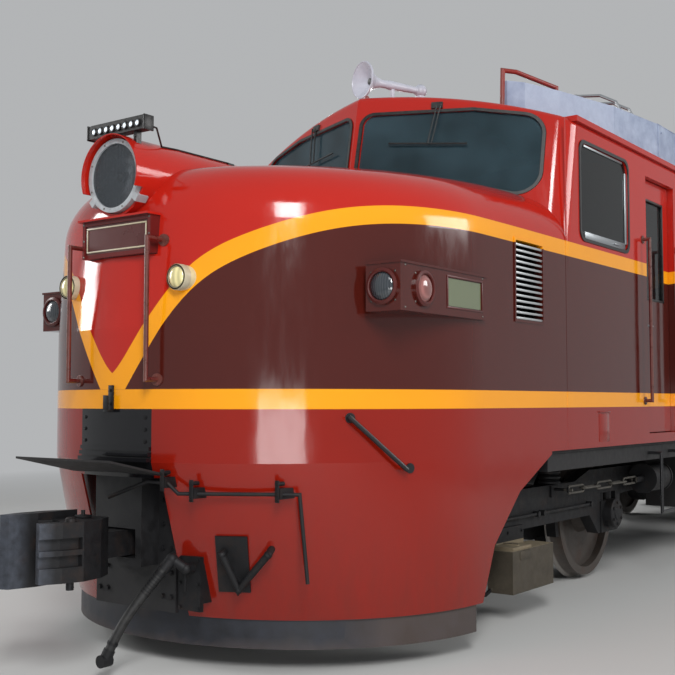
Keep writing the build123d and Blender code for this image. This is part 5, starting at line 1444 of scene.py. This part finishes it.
class LOCO_OT_screen_fittings(bpy.types.Operator):
    """Bolts and seams of the roof screens"""

    bl_idname = "loco.screen_fittings"
    bl_label = "Roof screen fittings"

    def execute(self, context):
        size = context.scene.loco.bolt_size * SCREEN_BOLT
        bm = bmesh.new()
        for y in SCREEN_ROWS:
            for z in SCREEN_BOLTS:
                bolt(bm, (SCREEN_X, y, z), OUTWARDS, size)
            slab(bm, (SCREEN_X, y - 0.09, 3.86), (SCREEN_X + 0.006, y - 0.04, 4.26), 0.001)
        slab(bm, (SCREEN_X - 0.064, -1.6, 4.268), (SCREEN_X + 0.004, 0.0, 4.274), 0.001)
        mirrored(bm)
        piece("roof_screen_seams", bm, "roof")
        return {"FINISHED"}


# Axle box covers: distance of their face from the middle, their shape as radius and height, and of their
# bolts the height over that face, distance from the axle, number and first angle in degrees
AXLE_COVER_X = 1.215
AXLE_COVER = ((0.128, -0.02), (0.128, 0.004), (0.118, 0.012), (0.060, 0.012), (0.052, 0.02), (0.0, 0.02))
AXLE_COVER_BOLTS = (0.012, 0.092, 6, 30)
# All that follows is placed along Y from the bogie's middle. Sand pipe: its points
SAND_PIPE = ((1.19, -0.76, 0.26), (1.16, -0.86, 0.20), (0.90, -0.81, 0.13))
# Brake rods: distance from the middle, height, their two pins along Y, ends of a pin along X
BRAKE_ROD = (1.17, 0.70, (0.05, 0.95), (1.14, 1.19))
# Bolts of the plate that carries the sand box: distance from the middle, places along Y, height
PLATE_BOLTS = (1.162, (-0.75, -0.52, -0.30), 0.60)
# Sand box: hasp on its face, and hinge bar of its lid
SAND_HASP = ((1.345, -0.70, 0.44), (1.356, -0.54, 0.50))
SAND_HINGE = ((1.18, -0.62, 0.53), (1.30, -0.62, 0.53))


def at_bogie(points):
    """Points placed from the middle of the front bogie, in the frame of the locomotive."""
    return [Vector((x, y - BOGIE_CENTRE, z)) for x, y, z in points]


class LOCO_OT_bogie_fittings(bpy.types.Operator):
    """Axle box covers, sand pipes, sand box hasps and brake rods of the bogies"""

    bl_idname = "loco.bogie_fittings"
    bl_label = "Bogie fittings"

    def execute(self, context):
        lift, radius, count, first = AXLE_COVER_BOLTS
        rod_x, rod_z, pins, pin_ends = BRAKE_ROD
        bolt_x, bolt_places, bolt_z = PLATE_BOLTS
        for end, _ in ENDS:
            covers = bmesh.new()
            for y in (-WHEEL_BASE / 2, WHEEL_BASE / 2):
                axle = at_bogie([(AXLE_COVER_X, y, AXLE_Z)])[0]
                turned(covers, AXLE_COVER, axle, OUTWARDS, 32)
                for place in round_places(axle + Vector(OUTWARDS) * lift, OUTWARDS, radius, count, first):
                    bolt(covers, place, OUTWARDS, 0.011)
            pipes = bmesh.new()
            bent(pipes, at_bogie(SAND_PIPE), 0.014)
            for sign in (-1, 1):
                rod(pipes, *at_bogie([(rod_x, sign * pin, rod_z) for pin in pins]), 0.013)
                for pin in pins:
                    rod(pipes, *at_bogie([(x, sign * pin, rod_z) for x in pin_ends]), 0.022)
            for place in at_bogie([(bolt_x, y, bolt_z) for y in bolt_places]):
                bolt(pipes, place, OUTWARDS, 0.010)
            slab(pipes, *at_bogie(SAND_HASP), 0.002)
            rod(pipes, *at_bogie(SAND_HINGE), 0.012)
            mirrored(covers)
            mirrored(pipes)
            piece(f"axle_box_covers_{end}", covers, "gear", f"bogie_{end}", end)
            piece(f"sand_and_brake_pipes_{end}", pipes, "gear", f"bogie_{end}", end)
        return {"FINISHED"}


# Feet of the rails beside the doors: distances behind the nose, heights, how far they stand out, radius,
# and heights of their screws over their middle
RAIL_PLACES = (4.55, 5.39)
RAIL_HEIGHTS = (1.57, 2.95)
RAIL_FOOT = (0.008, 0.034, (-0.024, 0.024))
# Bright strip on the edge of a louvre slat, a painted highlight of the light that the slat catches: distances
# inside and outside the side, play at its ends, heights below and above the slat's edge
SLAT_HIGHLIGHT = (0.004, 0.0015, 0.001, 0.001, 0.014)
# Underfloor boxes: distance of their face from the middle. Covers: middles and half length along Y, heights,
# thickness, distance of the bolts from the ends, heights of the bolts
BOX_FACE = 1.4
COVER_PLACES = (-0.76, 0.0, 0.76)
COVER_HALF = 0.34
COVER_HEIGHTS = (0.56, 1.06)
COVER_THICKNESS = 0.007
COVER_MARGIN = 0.03
COVER_BOLT_HEIGHTS = (0.60, 0.81, 1.02)
# Handle of a cover: half length, height, distance from the box
COVER_HANDLE = (0.07, 0.93, 0.045)
# Seams of the body side: distances behind the nose, half width, heights
SIDE_SEAMS = (3.0, 5.45)
SIDE_SEAM = (0.012, 1.22, 3.68)
# Hatch in the side: distances behind the nose and heights of its plate, and heights of its drip edge
SIDE_HATCH = (3.55, 3.77, 1.25, 1.470)
HATCH_EDGE = (1.478, 1.487)


class LOCO_OT_side_fittings(bpy.types.Operator):
    """Rail feet beside the doors, painted highlights on the louvre slats, underfloor covers, hatches and body
    side seams
    """

    bl_idname = "loco.side_fittings"
    bl_label = "Side fittings"

    def execute(self, context):
        feet = bmesh.new()
        proud, radius, lifts = RAIL_FOOT
        for d in RAIL_PLACES:
            for z in RAIL_HEIGHTS:
                boss(feet, (HALF_WIDTH, back(d), z), OUTWARDS, 0.0, proud, radius, 20)
                for lift in lifts:
                    screw(feet, (HALF_WIDTH + proud, back(d), z + lift), OUTWARDS, FOOT_SCREW)
        mirrored(feet)
        piece("door_rail_feet", feet, "rail")
        # Bright strips along the slats' edges, as painted highlight
        edges = bmesh.new()
        first, last, bottom, top = LOUVRE
        pitch = (top - bottom) / LOUVRE_SLATS
        sunk, proud, play, drop, rise = SLAT_HIGHLIGHT
        for row in range(LOUVRE_SLATS):
            z = LOUVRE_FIRST + row * pitch
            slab(edges, (HALF_WIDTH - sunk, back(first) + play, z - drop),
                 (HALF_WIDTH + proud, back(last) - play, z + rise), 0.0008)
        mirrored(edges)
        piece("louvre_highlights", edges, "slat_highlight")
        covers = bmesh.new()
        low, high = COVER_HEIGHTS
        face = BOX_FACE + COVER_THICKNESS
        half, z, reach = COVER_HANDLE
        for middle in COVER_PLACES:
            first, last = middle - COVER_HALF, middle + COVER_HALF
            slab(covers, (BOX_FACE - 0.002, first, low), (face, last, high), 0.003)
            for y in (first + COVER_MARGIN, last - COVER_MARGIN):
                for height in COVER_BOLT_HEIGHTS:
                    bolt(covers, (face, y, height), OUTWARDS, 0.009)
            ends = ((0.005, -half), (reach, -half), (reach, half), (0.005, half))
            bent(covers, [(BOX_FACE + x, middle + y, z) for x, y in ends], 0.007, 10)
        mirrored(covers)
        piece("underfloor_covers", covers, "frame", ends="as_built")
        seams = bmesh.new()
        half, low, high = SIDE_SEAM
        for d in SIDE_SEAMS:
            slab(seams, (HALF_WIDTH - 0.001, back(d) - half, low),
                 (HALF_WIDTH + 0.0015, back(d) + half, high))
        first, last, low, high = SIDE_HATCH
        bottom, top = HATCH_EDGE
        slab(seams, (HALF_WIDTH - 0.002, back(first), bottom), (HALF_WIDTH + 0.014, back(last), top), 0.003)
        slab(seams, (HALF_WIDTH - 0.002, back(first) + 0.01, low),
             (HALF_WIDTH + 0.0025, back(last) - 0.01, high), 0.001)
        mirrored(seams)
        piece("side_seams", seams, "body")
        return {"FINISHED"}


# Driver's desk: distance behind the nose and height of the two edges of its sloping top
DESK_EDGE = (3.48, 2.12)
DESK_BACK = (3.18, 2.26)
# Dials: distances from the middle, distance behind the upper edge, radius of rim and face
DIAL_PLACES = (0.42, 0.62, 0.82, 1.02)
DIAL_BACK = 0.08
DIAL_RIM = 0.075
DIAL_FACE = 0.066
# Controller and brake valve: distance from the middle, distance behind the nose and height of each on the
# desk, and how far its handle reaches
CONTROLLER = (0.72, 3.40, 2.16)
CONTROLLER_HANDLE = (-0.14, 0.03, 0.0)
VALVE = (1.12, 3.40, 2.16)
VALVE_HANDLE = (-0.16, 0.0, 0.0)
CONTROL_BAR = 0.012


class LOCO_OT_cab_fittings(bpy.types.Operator):
    """Dials, controller and brake handle on the driver's desks"""

    bl_idname = "loco.cab_fittings"
    bl_label = "Cab fittings"

    def execute(self, context):
        length = DESK_EDGE[0] - DESK_BACK[0]
        drop = DESK_BACK[1] - DESK_EDGE[1]
        up = Vector((0, drop, length)).normalized()
        faces = bmesh.new()
        controls = bmesh.new()
        for x in DIAL_PLACES:
            place = Vector((x, back(DESK_BACK[0] + DIAL_BACK), DESK_BACK[1] - DIAL_BACK * drop / length))
            boss(controls, place, up, -0.008, 0.014, DIAL_RIM, 28)
            boss(faces, place, up, 0.0139, 0.0155, DIAL_FACE, 28)
        controller, valve = behind(CONTROLLER, VALVE)
        boss(controls, controller, up, 0.0, 0.05, 0.11, 28)
        boss(controls, controller, up, 0.05, 0.09, 0.02)
        grip = controller + up * 0.09
        rod(controls, grip, grip + Vector(CONTROLLER_HANDLE), CONTROL_BAR, 12)
        boss(controls, valve, up, 0.0, 0.08, 0.05, 20)
        rod(controls, valve + up * 0.08, valve + up * 0.09 + Vector(VALVE_HANDLE), CONTROL_BAR, 12)
        piece("desk_dials", faces, "dial")
        piece("desk_controls", controls, "plastic")
        return {"FINISHED"}


# Stage

# Camera: place, turn and rise in degrees, focal length and width of the picture in pixels, sensor and reach
CAMERA_PLACE = (4.857, -11.68, 1.564)
CAMERA_TURN = 36.65
CAMERA_RISE = 3.44
FOCAL_PIXELS = 1063.0
PICTURE_PIXELS = 675.0
SENSOR = 36.0
CAMERA_REACH = 200.0

# Softboxes: name, place, what they face, width, height, share of the key light's power
LAMPS = (
    ("key", (7.0, -13.0, 7.5), (0.0, -5.5, 2.0), 2.2, 4.5, 1.0),
    ("fill", (-9.0, -10.0, 5.0), (0.0, -5.5, 1.5), 2.4, 4.0, 0.5),
    ("side", (10.0, 1.0, 6.0), (1.5, -1.0, 1.5), 6.0, 3.0, 0.55),
    ("rear", (-8.0, 9.0, 7.0), (0.0, 3.0, 2.0), 6.0, 3.0, 0.8),
    ("low", (5.0, -11.0, 1.0), (0.8, -6.0, 0.8), 2.5, 1.2, 0.1),
)
# Light from all round: colour and strength
SKY = ("#E8ECF0", 0.3)
# Backdrop: colour and strength
BACKDROP = ("#E4E6E8", 0.58)
# Floor: its two tones, how far it reaches from the middle along X and Y before it fades into the backdrop,
# and the share of that reach at which it is gone
FLOOR_TONES = ("#C4C4C2", "#CCCCCA")
FLOOR_SIZE = 60
FLOOR_REACH = (9.0, 16.0)
FLOOR_GONE = 1.7


def shown_rays(tree):
    """1 for rays that show the backdrop: camera rays, and those in mirrors and glass."""
    path = tree.nodes.new("ShaderNodeLightPath")
    seen = path.outputs["Is Camera Ray"]
    for name in ("Is Glossy Ray", "Is Transmission Ray"):
        seen = node(tree, "ShaderNodeMath", {0: seen, 1: path.outputs[name]}, operation="MAXIMUM")
    return seen


class LOCO_OT_stage(bpy.types.Operator):
    """Pale floor, soft studio light and the camera"""

    bl_idname = "loco.stage"
    bl_label = "Stage"

    def execute(self, context):
        bm = bmesh.new()
        bmesh.ops.create_grid(bm, x_segments=1, y_segments=1, size=FLOOR_SIZE)
        mesh = bpy.data.meshes.new("floor")
        bm.to_mesh(mesh)
        bm.free()
        floor = bpy.data.objects.new("floor", mesh)
        material, tree, shader, place = started("studio_floor")
        cloud = node(tree, "ShaderNodeTexNoise", {"Vector": place, "Scale": per_metre(2500), "Detail": 3.0})
        dark, light = FLOOR_TONES
        color = node(tree, "ShaderNodeMix", {0: cloud, 6: linear(dark), 7: linear(light)}, 2,
                     data_type="RGBA")
        joined(tree, shader, Base_Color=color, Roughness=0.9)
        # Away from the locomotive the floor runs into the backdrop without a line
        reach_x, reach_y = FLOOR_REACH
        spread = node(tree, "ShaderNodeMapping", {0: place, "Scale": (1 / reach_x, 1 / reach_y, 1.0)})
        away = node(tree, "ShaderNodeVectorMath", {0: spread}, "Value", operation="LENGTH")
        far = node(tree, "ShaderNodeMapRange", {"Value": away, "From Min": 1.0, "From Max": FLOOR_GONE})
        fade = node(tree, "ShaderNodeMath", {0: far, 1: shown_rays(tree)}, operation="MULTIPLY")
        tone, strength = BACKDROP
        backdrop = node(tree, "ShaderNodeEmission", {0: linear(tone), 1: strength})
        floor_end = node(tree, "ShaderNodeMixShader", {0: fade, 1: shader.outputs[0], 2: backdrop})
        tree.links.new(floor_end, tree.nodes["Material Output"].inputs[0])
        mesh.materials.append(material)
        context.scene.collection.objects.link(floor)

        # Light from all round, and the backdrop that shows instead of it
        world = bpy.data.worlds.new("studio")
        context.scene.world = world
        world.use_nodes = True
        tree = world.node_tree
        light = node(tree, "ShaderNodeBackground", {0: linear(SKY[0]), 1: SKY[1]})
        shown = node(tree, "ShaderNodeBackground", {0: linear(tone), 1: strength})
        mixed = node(tree, "ShaderNodeMixShader", {0: shown_rays(tree), 1: light, 2: shown})
        tree.links.new(mixed, tree.nodes["World Output"].inputs[0])

        # Softboxes
        for name, place, aim, width, height, share in LAMPS:
            data = bpy.data.lights.new(name, "AREA")
            data.shape = "RECTANGLE"
            data.size = width
            data.size_y = height
            data.energy = context.scene.loco.key_power * share
            lamp = bpy.data.objects.new(name, data)
            lamp.location = place
            lamp.rotation_euler = (Vector(aim) - Vector(place)).to_track_quat("-Z", "Y").to_euler()
            context.scene.collection.objects.link(lamp)

        # Camera at eye height, looking slightly up
        data = bpy.data.cameras.new("camera")
        data.sensor_width = SENSOR
        data.lens = FOCAL_PIXELS / PICTURE_PIXELS * SENSOR
        data.clip_end = CAMERA_REACH
        camera = bpy.data.objects.new("camera", data)
        camera.location = CAMERA_PLACE
        camera.rotation_euler = (math.radians(90 + CAMERA_RISE), 0, math.radians(CAMERA_TURN))
        context.scene.collection.objects.link(camera)
        context.scene.camera = camera
        context.scene.view_settings.view_transform = "Standard"
        return {"FINISHED"}


OPERATORS = (
    LOCO_OT_finishes,
    LOCO_OT_stage,
    LOCO_OT_brake_hoses,
    LOCO_OT_headlights,
    LOCO_OT_light_bars,
    LOCO_OT_number_boards,
    LOCO_OT_marker_lamps,
    LOCO_OT_nose_fittings,
    LOCO_OT_side_windows,
    LOCO_OT_door_fittings,
    LOCO_OT_coupler_fittings,
    LOCO_OT_air_fittings,
    LOCO_OT_roof_gear,
    LOCO_OT_horns,
    LOCO_OT_screen_fittings,
    LOCO_OT_bogie_fittings,
    LOCO_OT_side_fittings,
    LOCO_OT_cab_fittings,
)


class LOCO_PT_panel(bpy.types.Panel):
    """Panel with the settings and one button for each group of pieces"""

    bl_idname = "LOCO_PT_panel"
    bl_label = "Locomotive"
    bl_space_type = "VIEW_3D"
    bl_region_type = "UI"
    bl_category = "Locomotive"

    def draw(self, context):
        for name in LocoSettings.__annotations__:
            self.layout.prop(context.scene.loco, name)
        for operator in OPERATORS:
            self.layout.operator(operator.bl_idname)


CLASSES = (LocoSettings, *OPERATORS, LOCO_PT_panel)


def register():
    for item in CLASSES:
        bpy.utils.register_class(item)
    bpy.types.Scene.loco = PointerProperty(type=LocoSettings)


def unregister():
    del bpy.types.Scene.loco
    for item in reversed(CLASSES):
        bpy.utils.unregister_class(item)


def main():
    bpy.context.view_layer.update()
    register()
    for operator in OPERATORS:
        group, name = operator.bl_idname.split(".")
        getattr(getattr(bpy.ops, group), name)()


if __name__ == "__main__":
    main()
